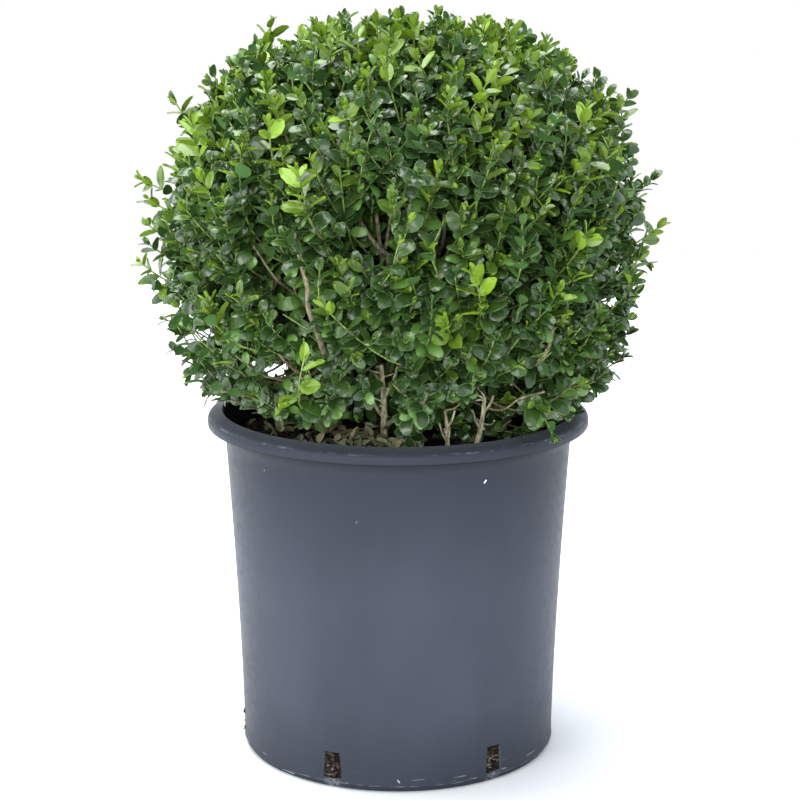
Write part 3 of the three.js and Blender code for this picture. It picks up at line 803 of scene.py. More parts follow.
def crown_radius(ways):
    """The clipped surface: a ball that is a little square, with shallow ripples round its waist."""
    across = np.hypot(ways[..., 0], ways[..., 1]) / CROWN_HALF_WIDTH
    rise = ways[..., 2]
    up = np.abs(rise) / CROWN_HALF_HEIGHT
    power = np.where(rise > 0, CROWN_SQUARENESS_ABOVE, CROWN_SQUARENESS_BELOW)
    clipped = (across ** power + up ** power) ** (-1 / power)
    azimuth = np.arctan2(ways[..., 0], -ways[..., 1])
    ripple = sum(np.sin(waves * azimuth + wind * rise + start) for waves, wind, start in CROWN_RIPPLES)
    return clipped * (1 + CROWN_RIPPLE * ripple * (1 - rise ** 2))


MASS_SIDES = ("top",) + tuple(side for side, *_ in RING)
MASS_WAYS = np.array([heading(0, 90)] + [heading(azimuth, MASS_ELEVATION) for _, azimuth, *_ in RING])


def mass_of(ways):
    return np.argmax(ways @ MASS_WAYS.T, axis=-1)


def golden_ways(count):
    place = np.arange(count)
    z = 1 - (2 * place + 1) / count
    across = np.sqrt(1 - z * z)
    return np.stack((np.cos(place * GOLDEN) * across, np.sin(place * GOLDEN) * across, z), axis=-1)


def smooth_course(points, samples):
    """Evenly spaced points on a centripetal curve through the given ones."""
    points = np.asarray(points, float)
    first = 2 * points[0] - points[1]
    last = 2 * points[-1] - points[-2]
    through = np.vstack((first, points, last))
    fine = []
    shares = np.linspace(0, 1, CURVE_STEPS, endpoint=False)[:, None]
    for p0, p1, p2, p3 in zip(through, through[1:], through[2:], through[3:]):
        d0, d1, d2 = (np.linalg.norm(b - a) ** 0.5 for a, b in ((p0, p1), (p1, p2), (p2, p3)))
        out = ((p1 - p0) / d0 - (p2 - p0) / (d0 + d1) + (p2 - p1) / d1) * d1
        into = ((p2 - p1) / d1 - (p3 - p1) / (d1 + d2) + (p3 - p2) / d2) * d1
        square = 3 * (p2 - p1) - 2 * out - into
        cube = 2 * (p1 - p2) + out + into
        fine.append(p1 + out * shares + square * shares ** 2 + cube * shares ** 3)
    fine = np.vstack(fine + [points[-1:]])
    run = np.concatenate(([0], np.cumsum(np.linalg.norm(np.diff(fine, axis=0), axis=1))))
    places = np.linspace(0, run[-1], samples)
    return np.stack([np.interp(places, run, fine[:, axis]) for axis in range(3)], axis=-1)


def bough_course(place, azimuth, sway, belly):
    """A bough leaves the trunk's side, bellies out like a goblet's rib and ends under its mass."""
    out = heading(azimuth, 0)
    side = heading(azimuth + 90, 0)
    points = []
    for share in BOUGH_SHARES:
        bow = math.sin(share * math.pi)
        reach = (HOLLOW_RADIUS - LIMB_END_GAP) * share ** BOUGH_SPREAD + belly * bow
        root_z = BOUGH_ROOT_Z + BOUGH_ROOT_STAGGER * (place % 2)
        point = out * reach + side * sway * bow * math.sin(share * BOUGH_SWAY_TURN)
        point[:2] += CROWN_CENTRE[:2] * share
        point[2] = root_z + (BOUGH_TIP_Z - root_z) * share
        points.append(point)
    return smooth_course(points, LIMB_SAMPLES)


def leader_course():
    root_z = TRUNK_TOP_Z + 2 * CLEARANCE
    tip_z = CROWN_CENTRE[2] + HOLLOW_TOP - LIMB_END_GAP
    points = [
        (
            CROWN_CENTRE[0] * share - LEADER_SWAY * math.sin(share * math.pi),
            LEADER_LEAN * math.sin(share * TURN),
            root_z + (tip_z - root_z) * share,
        )
        for share in LEADER_SHARES
    ]
    return smooth_course(points, LIMB_SAMPLES)


LIMB_COURSES = [leader_course()] + [
    bough_course(place, azimuth, sway, belly) for place, (_, azimuth, sway, belly) in enumerate(RING)
]


def mass_middle(mass):
    hollow = HOLLOW_TOP if mass == 0 else HOLLOW_RADIUS
    way = MASS_WAYS[mass]
    return CROWN_CENTRE + way * (hollow + CORE_REACH * crown_radius(way)) / 2


def mesh_piece(name, points, loops, sizes, tones):
    """A mesh from arrays: its points, its faces' corners and sizes, and the material number of each face."""
    mesh = bpy.data.meshes.new(name)
    mesh.vertices.add(len(points))
    mesh.vertices.foreach_set("co", np.ascontiguousarray(points, np.float32).ravel())
    mesh.loops.add(len(loops))
    mesh.loops.foreach_set("vertex_index", np.ascontiguousarray(loops, np.int32))
    mesh.polygons.add(len(sizes))
    starts = np.concatenate(([0], np.cumsum(sizes)[:-1])).astype(np.int32)
    mesh.polygons.foreach_set("loop_start", starts)
    mesh.polygons.foreach_set("material_index", np.ascontiguousarray(tones, np.int32))
    mesh.update(calc_edges=True)
    mesh.validate()
    piece = bpy.data.objects.new(name, mesh)
    bpy.context.scene.collection.objects.link(piece)
    return piece


def tube_arrays(paths, radii, sides):
    """Closed tapering tubes along paths of equally many points: the points, corners and sizes of faces."""
    count, rings = paths.shape[:2]
    along = unit(np.gradient(paths, axis=1))
    chord = unit(paths[:, -1] - paths[:, 0])
    least = np.eye(3)[np.argmin(np.abs(chord), axis=1)]
    across = unit(np.cross(along, least[:, None, :]))
    over = np.cross(along, across)
    angles = np.arange(sides) * TURN / sides
    spokes = across[:, :, None, :] * np.cos(angles)[:, None] + over[:, :, None, :] * np.sin(angles)[:, None]
    points = paths[:, :, None, :] + spokes * radii[:, :, None, None]
    faces = []
    for ring in range(rings - 1):
        for side in range(sides):
            a = ring * sides + side
            b = ring * sides + (side + 1) % sides
            faces.append((a, b, b + sides, a + sides))
    caps = [tuple(reversed(range(sides))), tuple((rings - 1) * sides + side for side in range(sides))]
    return copies_of(points.reshape(count, rings * sides, 3), faces + caps)


def copies_of(points, faces):
    """The joined arrays of many copies of one shape: copies × vertices × 3 points, and one copy's faces."""
    count, corners = points.shape[:2]
    loop = np.concatenate([np.array(face) for face in faces])
    sizes = np.array([len(face) for face in faces])
    loops = (loop[None, :] + corners * np.arange(count)[:, None]).ravel()
    return points.reshape(-1, 3), loops, np.tile(sizes, count)


def shape_of(piece):
    """Takes a modelled piece away and keeps its points, its faces and their material numbers."""
    mesh = piece.data
    points = np.array([vertex.co[:] for vertex in mesh.vertices])
    faces = [tuple(face.vertices) for face in mesh.polygons]
    tones = np.array([face.material_index for face in mesh.polygons])
    bpy.data.objects.remove(piece)
    return points, faces, tones


# Materials

def add_node(tree, kind, inputs=None, **settings):
    """A node with its settings, and its inputs set to values or linked from other nodes' outputs."""
    made = tree.nodes.new(kind)
    for name, value in settings.items():
        setattr(made, name, value)
    for name, value in (inputs or {}).items():
        if isinstance(value, bpy.types.NodeSocket):
            tree.links.new(value, made.inputs[name])
        else:
            made.inputs[name].default_value = value
    return made


def maths(tree, operation, first, second=0.0):
    return add_node(tree, "ShaderNodeMath", {0: first, 1: second}, operation=operation).outputs[0]


def between(tree, value, low, high):
    """0 below low, 1 above high, and a straight ramp between them."""
    inputs = {"Value": value, "From Min": low, "From Max": high}
    return add_node(tree, "ShaderNodeMapRange", inputs, clamp=True).outputs["Result"]


def mixed(tree, share, first, second):
    inputs = {0: share, 6: first, 7: second}
    return add_node(tree, "ShaderNodeMix", inputs, data_type="RGBA").outputs[2]


def scaled(rgb, factor):
    return tuple(factor * part for part in rgb)


def colour(rgb, brighter=1.0):
    return (*[min(channel * brighter, 1.0) for channel in rgb], 1.0)


def place_in(tree, stretch=None):
    """Object coordinates, stretched by named numbers along X, Y and Z."""
    place = add_node(tree, "ShaderNodeTexCoord").outputs["Object"]
    if stretch is None:
        return place
    scale = add_node(tree, "ShaderNodeCombineXYZ", {"X": stretch[0], "Y": stretch[1], "Z": stretch[2]})
    inputs = {0: place, 1: scale.outputs[0]}
    return add_node(tree, "ShaderNodeVectorMath", inputs, operation="MULTIPLY").outputs[0]


def faded(tree, away, reach):
    """1 where nothing is away, and less further off, down to 0 at the reach."""
    share = maths(tree, "DIVIDE", away, reach)
    left = add_node(tree, "ShaderNodeMath", {0: 1.0, 1: share}, operation="SUBTRACT", use_clamp=True)
    return left.outputs[0]


def mottle_nodes(tree, given, wanted):
    """Cloudy patches: a mask between two levels of a noise, and the noise itself."""
    place = place_in(tree, (given["Across"], given["Across"], given["Along"]))
    inputs = {"Vector": place, "Scale": given["Scale"], "Detail": given["Detail"]}
    level = add_node(tree, "ShaderNodeTexNoise", inputs).outputs["Fac"]
    tree.links.new(between(tree, level, given["Low"], given["High"]), wanted["Mask"])
    tree.links.new(level, wanted["Height"])


def speck_nodes(tree, given, wanted):
    """Small round specks, of which only a share is kept."""
    cells = add_node(tree, "ShaderNodeTexVoronoi", {"Vector": place_in(tree), "Scale": given["Scale"]})
    near = maths(tree, "LESS_THAN", cells.outputs["Distance"], given["Size"])
    draw = add_node(tree, "ShaderNodeSeparateColor", {0: cells.outputs["Color"]}).outputs[0]
    kept = maths(tree, "LESS_THAN", draw, given["Kept"])
    tree.links.new(maths(tree, "MULTIPLY", near, kept), wanted["Mask"])


def band_nodes(tree, given, wanted):
    """A band at one height, which fades out above and below it."""
    z = add_node(tree, "ShaderNodeSeparateXYZ", {0: place_in(tree)}).outputs["Z"]
    away = maths(tree, "ABSOLUTE", maths(tree, "SUBTRACT", z, given["Height"]))
    tree.links.new(faded(tree, away, given["Width"]), wanted["Mask"])


def nick_nodes(tree, given, wanted):
    """A small slanting nick at one place of the pot's front, longer than it is wide."""
    place = add_node(tree, "ShaderNodeSeparateXYZ", {0: place_in(tree)}).outputs
    rise = maths(tree, "SUBTRACT", place["Z"], given["Z"])
    aside = maths(tree, "SUBTRACT", place["X"], given["X"])
    aside = maths(tree, "SUBTRACT", aside, maths(tree, "MULTIPLY", rise, given["Lean"]))
    slim = maths(tree, "MULTIPLY", aside, NICK_SLIMNESS)
    across = add_node(tree, "ShaderNodeCombineXYZ", {"X": slim, "Z": rise})
    away = add_node(tree, "ShaderNodeVectorMath", {0: across.outputs[0]}, operation="LENGTH")
    near = maths(tree, "LESS_THAN", away.outputs["Value"], given["Reach"])
    front = maths(tree, "LESS_THAN", place["Y"], NICK_FRONT_Y)
    tree.links.new(maths(tree, "MULTIPLY", near, front), wanted["Mask"])


def smudge_nodes(tree, given, wanted):
    """A round patch about one point, which fades out towards its edge."""
    middle = add_node(tree, "ShaderNodeCombineXYZ", {label: given[label] for label in "XYZ"}).outputs[0]
    away = add_node(tree, "ShaderNodeVectorMath", {0: place_in(tree), 1: middle}, operation="DISTANCE")
    tree.links.new(faded(tree, away.outputs["Value"], given["Radius"]), wanted["Mask"])


# Node groups: what lays out their nodes, their inputs and their outputs
GROUPS = {
    "Mottle": (
        mottle_nodes,
        {"Scale": 20.0, "Across": 1.0, "Along": 1.0, "Low": 0.4, "High": 0.6, "Detail": 5.0},
        ("Mask", "Height"),
    ),
    "Specks": (speck_nodes, {"Scale": 60.0, "Size": 0.1, "Kept": 0.1}, ("Mask",)),
    "Band": (band_nodes, {"Height": 0.0, "Width": 0.001}, ("Mask",)),
    "Nick": (nick_nodes, {"X": 0.0, "Z": 0.0, "Reach": 0.001, "Lean": 0.0}, ("Mask",)),
    "Smudge": (smudge_nodes, {"X": 0.0, "Y": 0.0, "Z": 0.0, "Radius": 0.01}, ("Mask",)),
}


def node_group(name):
    """One of the node groups, which is made when it is first asked for."""
    if name in bpy.data.node_groups:
        return bpy.data.node_groups[name]
    lay_out, inputs, outputs = GROUPS[name]
    tree = bpy.data.node_groups.new(name, "ShaderNodeTree")
    for label, default in inputs.items():
        socket = tree.interface.new_socket(label, in_out="INPUT", socket_type="NodeSocketFloat")
        socket.default_value = default
    for label in outputs:
        tree.interface.new_socket(label, in_out="OUTPUT", socket_type="NodeSocketFloat")
    given = tree.nodes.new("NodeGroupInput").outputs
    lay_out(tree, given, tree.nodes.new("NodeGroupOutput").inputs)
    return tree


def use_group(tree, group, **inputs):
    made = tree.nodes.new("ShaderNodeGroup")
    made.node_tree = node_group(group)
    for name, value in inputs.items():
        made.inputs[name].default_value = value
    return made.outputs


def new_material(name, roughness, specular=0.5):
    material = bpy.data.materials.new(name)
    material.use_nodes = True
    tree = material.node_tree
    shader = tree.nodes["Principled BSDF"]
    shader.inputs["Roughness"].default_value = roughness
    shader.inputs["Specular IOR Level"].default_value = specular
    return material, tree, shader.inputs


def mottle(tree, **values):
    return use_group(tree, "Mottle", **values)


def band(tree, height, width):
    return use_group(tree, "Band", Height=height, Width=width)["Mask"]


def overlaid(tree, base, mask, share, rgb, brighter=1.0):
    """A colour laid over the base to a share of a mask."""
    return mixed(tree, maths(tree, "MULTIPLY", mask, share), base, colour(rgb, brighter))


def uneven(tree, level, spread, least):
    """A value that rises with a level, from the least one on."""
    value = maths(tree, "MULTIPLY_ADD", level, spread)
    value.node.inputs[2].default_value = least
    return value


def bumped(tree, height, strength, distance, under=None):
    inputs = {"Height": height, "Strength": strength, "Distance": distance}
    if under is not None:
        inputs["Normal"] = under
    return add_node(tree, "ShaderNodeBump", inputs).outputs["Normal"]


def pot_tone(tree, settings):
    """Cloudy, faintly streaked plastic, with painted shade under the rim and skirt and darker at the foot."""
    plastic = settings.plastic
    cloudy = mottle(tree, Scale=7.0, Along=0.6, Low=0.35, High=0.68)["Mask"]
    base = mixed(tree, cloudy, colour(plastic), colour(plastic, 1.4))
    streaks = mottle(tree, Scale=16.0, Across=2.0, Along=0.12, Low=0.45, High=0.75)["Mask"]
    base = overlaid(tree, base, streaks, 0.14, plastic, 0.7)
    # Painted shade under the rim, a painted shadow under the skirt, and darker towards the foot
    for height, width, dark in POT_SHADES:
        base = overlaid(tree, base, band(tree, height, width), 0.8, plastic, dark)
    # A thin painted shadow along the lower edge of the skirt
    return overlaid(tree, base, band(tree, RIM_SKIRT_Z, 0.0016), 0.9, plastic, 0.1)


def pot_wear(tree, settings, base):
    """The worn crest, partly a painted highlight, the worn bead, grit at the slots, scratches at the foot,
    dust and painted light on the rim's top, and pale nicks.
    """
    pale = settings.worn_plastic_and_light
    # Pale wear on the crest, which also serves as a painted highlight along it, and on the bead
    edges = maths(tree, "MAXIMUM", band(tree, RIM_CREST_Z, 0.0012), band(tree, POT_BEAD_Z, 0.001))
    broken = mottle(tree, Scale=90.0, Along=3.0, Low=0.5, High=0.8)["Mask"]
    base = overlaid(tree, base, maths(tree, "MULTIPLY", edges, broken), 0.4, pale)
    grit = mottle(tree, Scale=260.0, Low=0.36, High=0.6)["Mask"]
    for azimuth in SLOT_AZIMUTHS:
        x, y, _ = heading(azimuth, 0) * POT_FOOT_RADIUS
        patch = use_group(tree, "Smudge", X=x, Y=y, Z=0.004, Radius=0.0115)["Mask"]
        patch = maths(tree, "MULTIPLY", between(tree, patch, 0.1, 0.6), grit)
        base = overlaid(tree, base, patch, 0.5, pale, 0.6)
    scratches = mottle(tree, Scale=70.0, Across=0.45, Along=7.0, Low=0.665, High=0.7)["Mask"]
    base = overlaid(tree, base, band(tree, 0.004, 0.016), scratches, pale, 0.9)
    # Dust and painted light on the rim's top, which lies in the crown's shade
    base = overlaid(tree, base, band(tree, POT_HEIGHT, 0.005), RIM_DUST_AND_LIGHT, pale, 0.5)
    for x, z, reach, lean, share in POT_NICKS:
        nick = use_group(tree, "Nick", X=x, Z=z, Reach=reach, Lean=lean)["Mask"]
        base = overlaid(tree, base, nick, share, pale, 1.8)
    return base


def pot_material(settings):
    """Satin moulded plastic with fine grain and low waves."""
    material, tree, shader = new_material("pot_plastic", 0.42, 0.12)
    tree.links.new(pot_wear(tree, settings, pot_tone(tree, settings)), shader["Base Color"])
    rough = mottle(tree, Scale=130.0, Low=0.46, High=0.62)["Mask"]
    tree.links.new(uneven(tree, rough, 0.07, 0.4), shader["Roughness"])
    grain = mottle(tree, Scale=700.0, Detail=2.0)["Height"]
    waves = mottle(tree, Scale=9.0, Detail=1.0)["Height"]
    normal = bumped(tree, waves, 0.15, 0.004)
    tree.links.new(bumped(tree, grain, 0.12, 0.0006, normal), shader["Normal"])
    return material


def mix_material(settings):
    """Moist bark and peat: dark, matt and crumbly, with a few pale grains."""
    material, tree, shader = new_material("potting_mix", 0.85, 0.3)
    patches = mottle(tree, Scale=120.0, Low=0.38, High=0.66)
    base = mixed(tree, patches["Mask"], colour(settings.mix, 0.45), colour(settings.mix, 2.1))
    grains = use_group(tree, "Specks", Scale=160.0, Size=0.22, Kept=0.03)["Mask"]
    base = mixed(tree, grains, base, colour((0.42, 0.38, 0.3)))
    tree.links.new(base, shader["Base Color"])
    tree.links.new(bumped(tree, patches["Height"], 0.9, 0.004), shader["Normal"])
    return material


def crumb_material(name, low, high, scale):
    material, tree, shader = new_material(name, 0.8, 0.3)
    patches = mottle(tree, Scale=scale, Low=0.35, High=0.65)
    tree.links.new(mixed(tree, patches["Mask"], colour(low), colour(high)), shader["Base Color"])
    tree.links.new(bumped(tree, patches["Height"], 0.6, 0.002), shader["Normal"])
    return material


def bark_material(name, rgb, scale, depth):
    """Corky bark: pale ridges that run lengthwise, dark cracks between them, and green and grey patches."""
    material, tree, shader = new_material(name, 0.78, 0.3)
    ridges = mottle(tree, Scale=scale, Across=1.0, Along=0.25, Low=0.4, High=0.6)
    patches = mottle(tree, Scale=scale * 0.12, Low=0.45, High=0.62)
    base = mixed(tree, ridges["Mask"], colour(rgb, 0.4), colour(rgb, 1.25))
    base = mixed(tree, maths(tree, "MULTIPLY", patches["Mask"], 0.4), base, colour((0.2, 0.22, 0.1)))
    tree.links.new(base, shader["Base Color"])
    tree.links.new(bumped(tree, ridges["Height"], 0.8, depth), shader["Normal"])
    return material


def leaf_material(name, rgb, roughness, specular=0.5):
    """One tone of leaf: a plain colour under a gloss that is a little uneven."""
    material, tree, shader = new_material(name, roughness, specular)
    shader["Base Color"].default_value = colour(rgb)
    patchy = mottle(tree, Scale=160.0, Detail=2.0)["Height"]
    tree.links.new(uneven(tree, patchy, 0.16, roughness - 0.08), shader["Roughness"])
    return material


# Pot

def pot_profile():
    """The section of the pot: from the middle of its underside out, up the wall, over the rim and inside."""
    foot = POT_FOOT_RADIUS
    rim = RIM_RADIUS
    lip = RIM_INNER_RADIUS
    outside = [
        (0, POT_RECESS),
        (foot - 0.009, POT_RECESS),
        (foot - 0.0078, 0),
        (foot - 0.0014, 0),
        (foot - 0.0003, 0.0006),
        (foot + 0.0002, 0.002),
        (foot + 0.0004, POT_BEAD_Z - 0.0016),
        (foot + 0.0013, POT_BEAD_Z - 0.001),
        (foot + 0.0028, POT_BEAD_Z - 0.0006),
        (foot + 0.0031, POT_BEAD_Z + 0.0002),
    ]
    low = POT_BEAD_Z + 0.0012
    heights = [low + (POT_WALL_TOP_Z - low) * ring / POT_RINGS for ring in range(POT_RINGS + 1)]
    outside += [(wall_radius(z), z) for z in heights]
    top = POT_WALL_TOP_RADIUS
    outside += [
        (top + 0.0004, POT_WALL_TOP_Z + 0.0055),
        (top + 0.001, COLLAR_Z - 0.005),
        (top + 0.002, COLLAR_Z - 0.0012),
        (lip - 0.0006, COLLAR_Z + 0.002),
        (lip + 0.0003, COLLAR_Z + 0.0066),
        (lip + 0.0009, COLLAR_Z + 0.0125),
        (lip + 0.0022, COLLAR_Z + 0.0158),
        (lip + 0.005, COLLAR_Z + 0.0166),
        (rim - 0.0056, COLLAR_Z + 0.0152),
        (rim - 0.0034, COLLAR_Z + 0.0136),
        (rim - 0.0027, RIM_SKIRT_Z + 0.001),
        (rim - 0.0022, RIM_SKIRT_Z + 0.0001),
        (rim - 0.0004, RIM_SKIRT_Z),
        (rim, RIM_SKIRT_Z + 0.0007),
        (rim + 0.0001, RIM_SKIRT_Z + 0.0035),
        (rim - 0.0001, RIM_SKIRT_Z + 0.0062),
        (rim - 0.0008, RIM_SKIRT_Z + 0.0082),
        (rim - 0.002, RIM_SKIRT_Z + 0.0096),
        (rim - 0.0037, RIM_SKIRT_Z + 0.0107),
        (rim - 0.0065, RIM_SKIRT_Z + 0.0118),
        (rim - 0.0095, RIM_SKIRT_Z + 0.0129),
        (lip + 0.0014, POT_HEIGHT - 0.0005),
        (lip + 0.0005, POT_HEIGHT),
    ]
    inside = [
        (lip - 0.0004, POT_HEIGHT - 0.0003),
        (lip - 0.0012, POT_HEIGHT - 0.0014),
        (lip - 0.0022, POT_HEIGHT - 0.006),
        (lip - 0.0032, COLLAR_Z + 0.0032),
        (lip - 0.0046, COLLAR_Z + 0.0004),
        (top - POT_WALL + 0.0008, COLLAR_Z - 0.003),
    ]
    inside += [(wall_radius(z) - POT_WALL, z) for z in reversed(heights)]
    inside += [(POT_WALL_FOOT_RADIUS - 2 * POT_WALL, POT_FLOOR), (0, POT_FLOOR)]
    return outside + inside


def slot_cutter(azimuth, seed):
    """A block that widens towards its foot and has ragged sides."""
    height = SLOT_HIGH_Z - SLOT_LOW_Z
    deselect()
    bpy.ops.mesh.primitive_cube_add(
        size=1,
        location=(0, -POT_WALL_FOOT_RADIUS, SLOT_LOW_Z + height / 2),
        scale=(SLOT_WIDTH, SLOT_DEPTH, height),
    )
    block = bpy.context.object
    apply_place(block)
    edit(block, lambda place: place.z < SLOT_LOW_Z + height / 2)
    bpy.ops.transform.resize(value=(SLOT_FLARE, 1, 1), center_override=(0, -POT_WALL_FOOT_RADIUS, 0))
    bpy.ops.mesh.select_all(action="SELECT")
    bpy.ops.mesh.subdivide(number_cuts=SLOT_EDGE_CUTS)
    bpy.ops.transform.vertex_random(offset=SLOT_RAGGED, seed=seed)
    leave_edit()
    block.rotation_euler.z = math.radians(azimuth)
    apply_place(block)
    return block


def hole_cutter(azimuth):
    way = heading(azimuth, 0) * FLOOR_HOLE_RING
    deselect()
    bpy.ops.mesh.primitive_cylinder_add(
        vertices=FLOOR_HOLE_STEPS, radius=FLOOR_HOLE_RADIUS, depth=6 * POT_FLOOR, location=tuple(way)
    )
    hole = bpy.context.object
    apply_place(hole)
    return hole


class OBJECT_OT_box_ball_pot(bpy.types.Operator):
    """Models the nursery pot with its turned-down rim and its drain slots"""

    bl_idname = "object.box_ball_pot"
    bl_label = "Nursery pot"

    def execute(self, context):
        settings = context.scene.box_ball_pot
        pot = turned(pot_profile(), POT_STEPS)
        cutters = [slot_cutter(azimuth, seed) for seed, azimuth in enumerate(SLOT_AZIMUTHS)]
        cutters += [hole_cutter(azimuth) for azimuth in SLOT_AZIMUTHS]
        cutter = join(cutters)
        torn = scaled(settings.worn_plastic_and_light, 0.4)
        cutter.data.materials.append(crumb_material("torn_plastic", settings.plastic, torn, 300.0))
        pot.data.materials.append(pot_material(settings))
        cuts = {"operation": "DIFFERENCE", "solver": "EXACT", "object": cutter, "material_mode": "TRANSFER"}
        apply_modifier(pot, "BOOLEAN", **cuts)
        bpy.data.objects.remove(cutter)
        smooth(pot, 40)
        finish_piece(pot, "nursery_pot", [], ("pot",))
        return {"FINISHED"}


# Potting mix

def mix_profile():
    """The section of the mix: its bottom, the side that fills the wall, and the mound with close rings."""
    floor = POT_FLOOR + CLEARANCE
    points = [(0, floor)]
    for ring in range(MIX_SIDE_RINGS + 1):
        z = floor + (POT_WALL_TOP_Z - floor) * ring / MIX_SIDE_RINGS
        points.append((wall_radius(z) - POT_WALL - 2 * CLEARANCE, z))
    for ring in range(MIX_RINGS + 1):
        radius = MIX_RADIUS * (1 - ring / MIX_RINGS)
        points.append((radius, float(mix_height(radius))))
    return points


def scattered(count, rng, reach):
    """Places on the mound, evenly dealt out over its area."""
    radius = reach * np.sqrt(rng.random(count))
    angle = TURN * rng.random(count)
    return np.stack((radius * np.cos(angle), radius * np.sin(angle), mix_height(radius)), axis=-1)


def gathered(count, rng):
    """Places on the mound at the front, where dry leaves have gathered against the rim."""
    azimuth = np.radians(HEAP_AZIMUTH + HEAP_AZIMUTH_SPREAD * rng.normal(size=count))
    radius = MIX_RADIUS - HEAP_INSET - HEAP_DEPTH * rng.random(count)
    height = mix_height(radius) + HEAP_FOOT + HEAP_HEIGHT * rng.random(count) ** 1.5
    return np.stack((radius * np.sin(azimuth), -radius * np.cos(azimuth), height), axis=-1)


def crumb_shape():
    """One crumb of bark: a rough flattened lump."""
    deselect()
    bpy.ops.mesh.primitive_ico_sphere_add(subdivisions=1, radius=0.5)
    crumb = bpy.context.object
    edit(crumb)
    bpy.ops.transform.resize(value=CRUMB_FORM)
    bpy.ops.transform.vertex_random(offset=CRUMB_UNEVENNESS, seed=3)
    leave_edit()
    return shape_of(crumb)


def laid_copies(shape, places, sizes, tilt, rng, outward=UP):
    """Copies of a shape laid on a surface that faces outward, each turned about and tilted."""
    points, faces, _ = shape
    count = len(places)
    turns = TURN * rng.random(count)
    normals = unit(outward + tilt * rng.normal(size=(count, 3)))
    along = unit(np.cross(normals, np.stack((np.cos(turns), np.sin(turns), np.zeros(count)), axis=-1)))
    across = np.cross(along, normals)
    basis = np.stack((across, along, normals), axis=1) * sizes[:, None, None]
    return copies_of(places[:, None, :] + points[None] @ basis, faces)


def strewn_piece(name, arrays, tones, odds, count, rng):
    """A piece of many loose things from their arrays, with their tones dealt out by the odds."""
    drawn = rng.choice(len(tones), count, p=odds)
    piece = mesh_piece(name, *arrays, np.repeat(drawn, len(arrays[2]) // count))
    return finish_piece(piece, name, [crumb_material(*tone) for tone in tones])


class OBJECT_OT_box_ball_mix(bpy.types.Operator):
    """Models the mound of potting mix, the crumbs of bark on it and the dry leaves that fell on it"""

    bl_idname = "object.box_ball_mix"
    bl_label = "Potting mix"

    def execute(self, context):
        settings = context.scene.box_ball_pot
        rng = np.random.default_rng(SEED)
        mound = turned(mix_profile(), MIX_STEPS)
        low = POT_WALL_TOP_Z + 0.001
        reach = MIX_RADIUS - MIX_EDGE_MARGIN
        relief(mound, *MIX_RELIEF, lambda place: place.z > low and math.hypot(*place.xy) < reach, depth=4)
        smooth(mound, 60)
        finish_piece(mound, "mix_mound", [mix_material(settings)], ("potting_mix",))

        count = settings.crumbs
        places = scattered(count, rng, MIX_RADIUS - CRUMB_INSET)
        sizes = CRUMB_LEAST + CRUMB_SPREAD * rng.random(count) ** 3
        places[:, 2] += CRUMB_RISE * sizes
        arrays = laid_copies(crumb_shape(), places, sizes, CRUMB_TILT, rng)
        strewn_piece("bark_crumbs", arrays, CRUMB_TONES, None, count, rng)

        count = settings.litter
        places = scattered(count, rng, MIX_RADIUS - LITTER_INSET)
        places[::2] = gathered(len(places[::2]), rng)
        places[:, 2] += LITTER_FOOT + LITTER_HEIGHT * rng.random(count)
        points, faces, parts = leaf_shape(YOUNG_FORM)
        sizes = LITTER_LEAST + LITTER_SPREAD * rng.random(count)
        arrays = laid_copies((points * LITTER_FORM, faces, parts), places, sizes, LITTER_TILT, rng)
        litter = strewn_piece("leaf_litter", arrays, LITTER_TONES, LITTER_ODDS, count, rng)
        smooth(litter, 40)
        return {"FINISHED"}


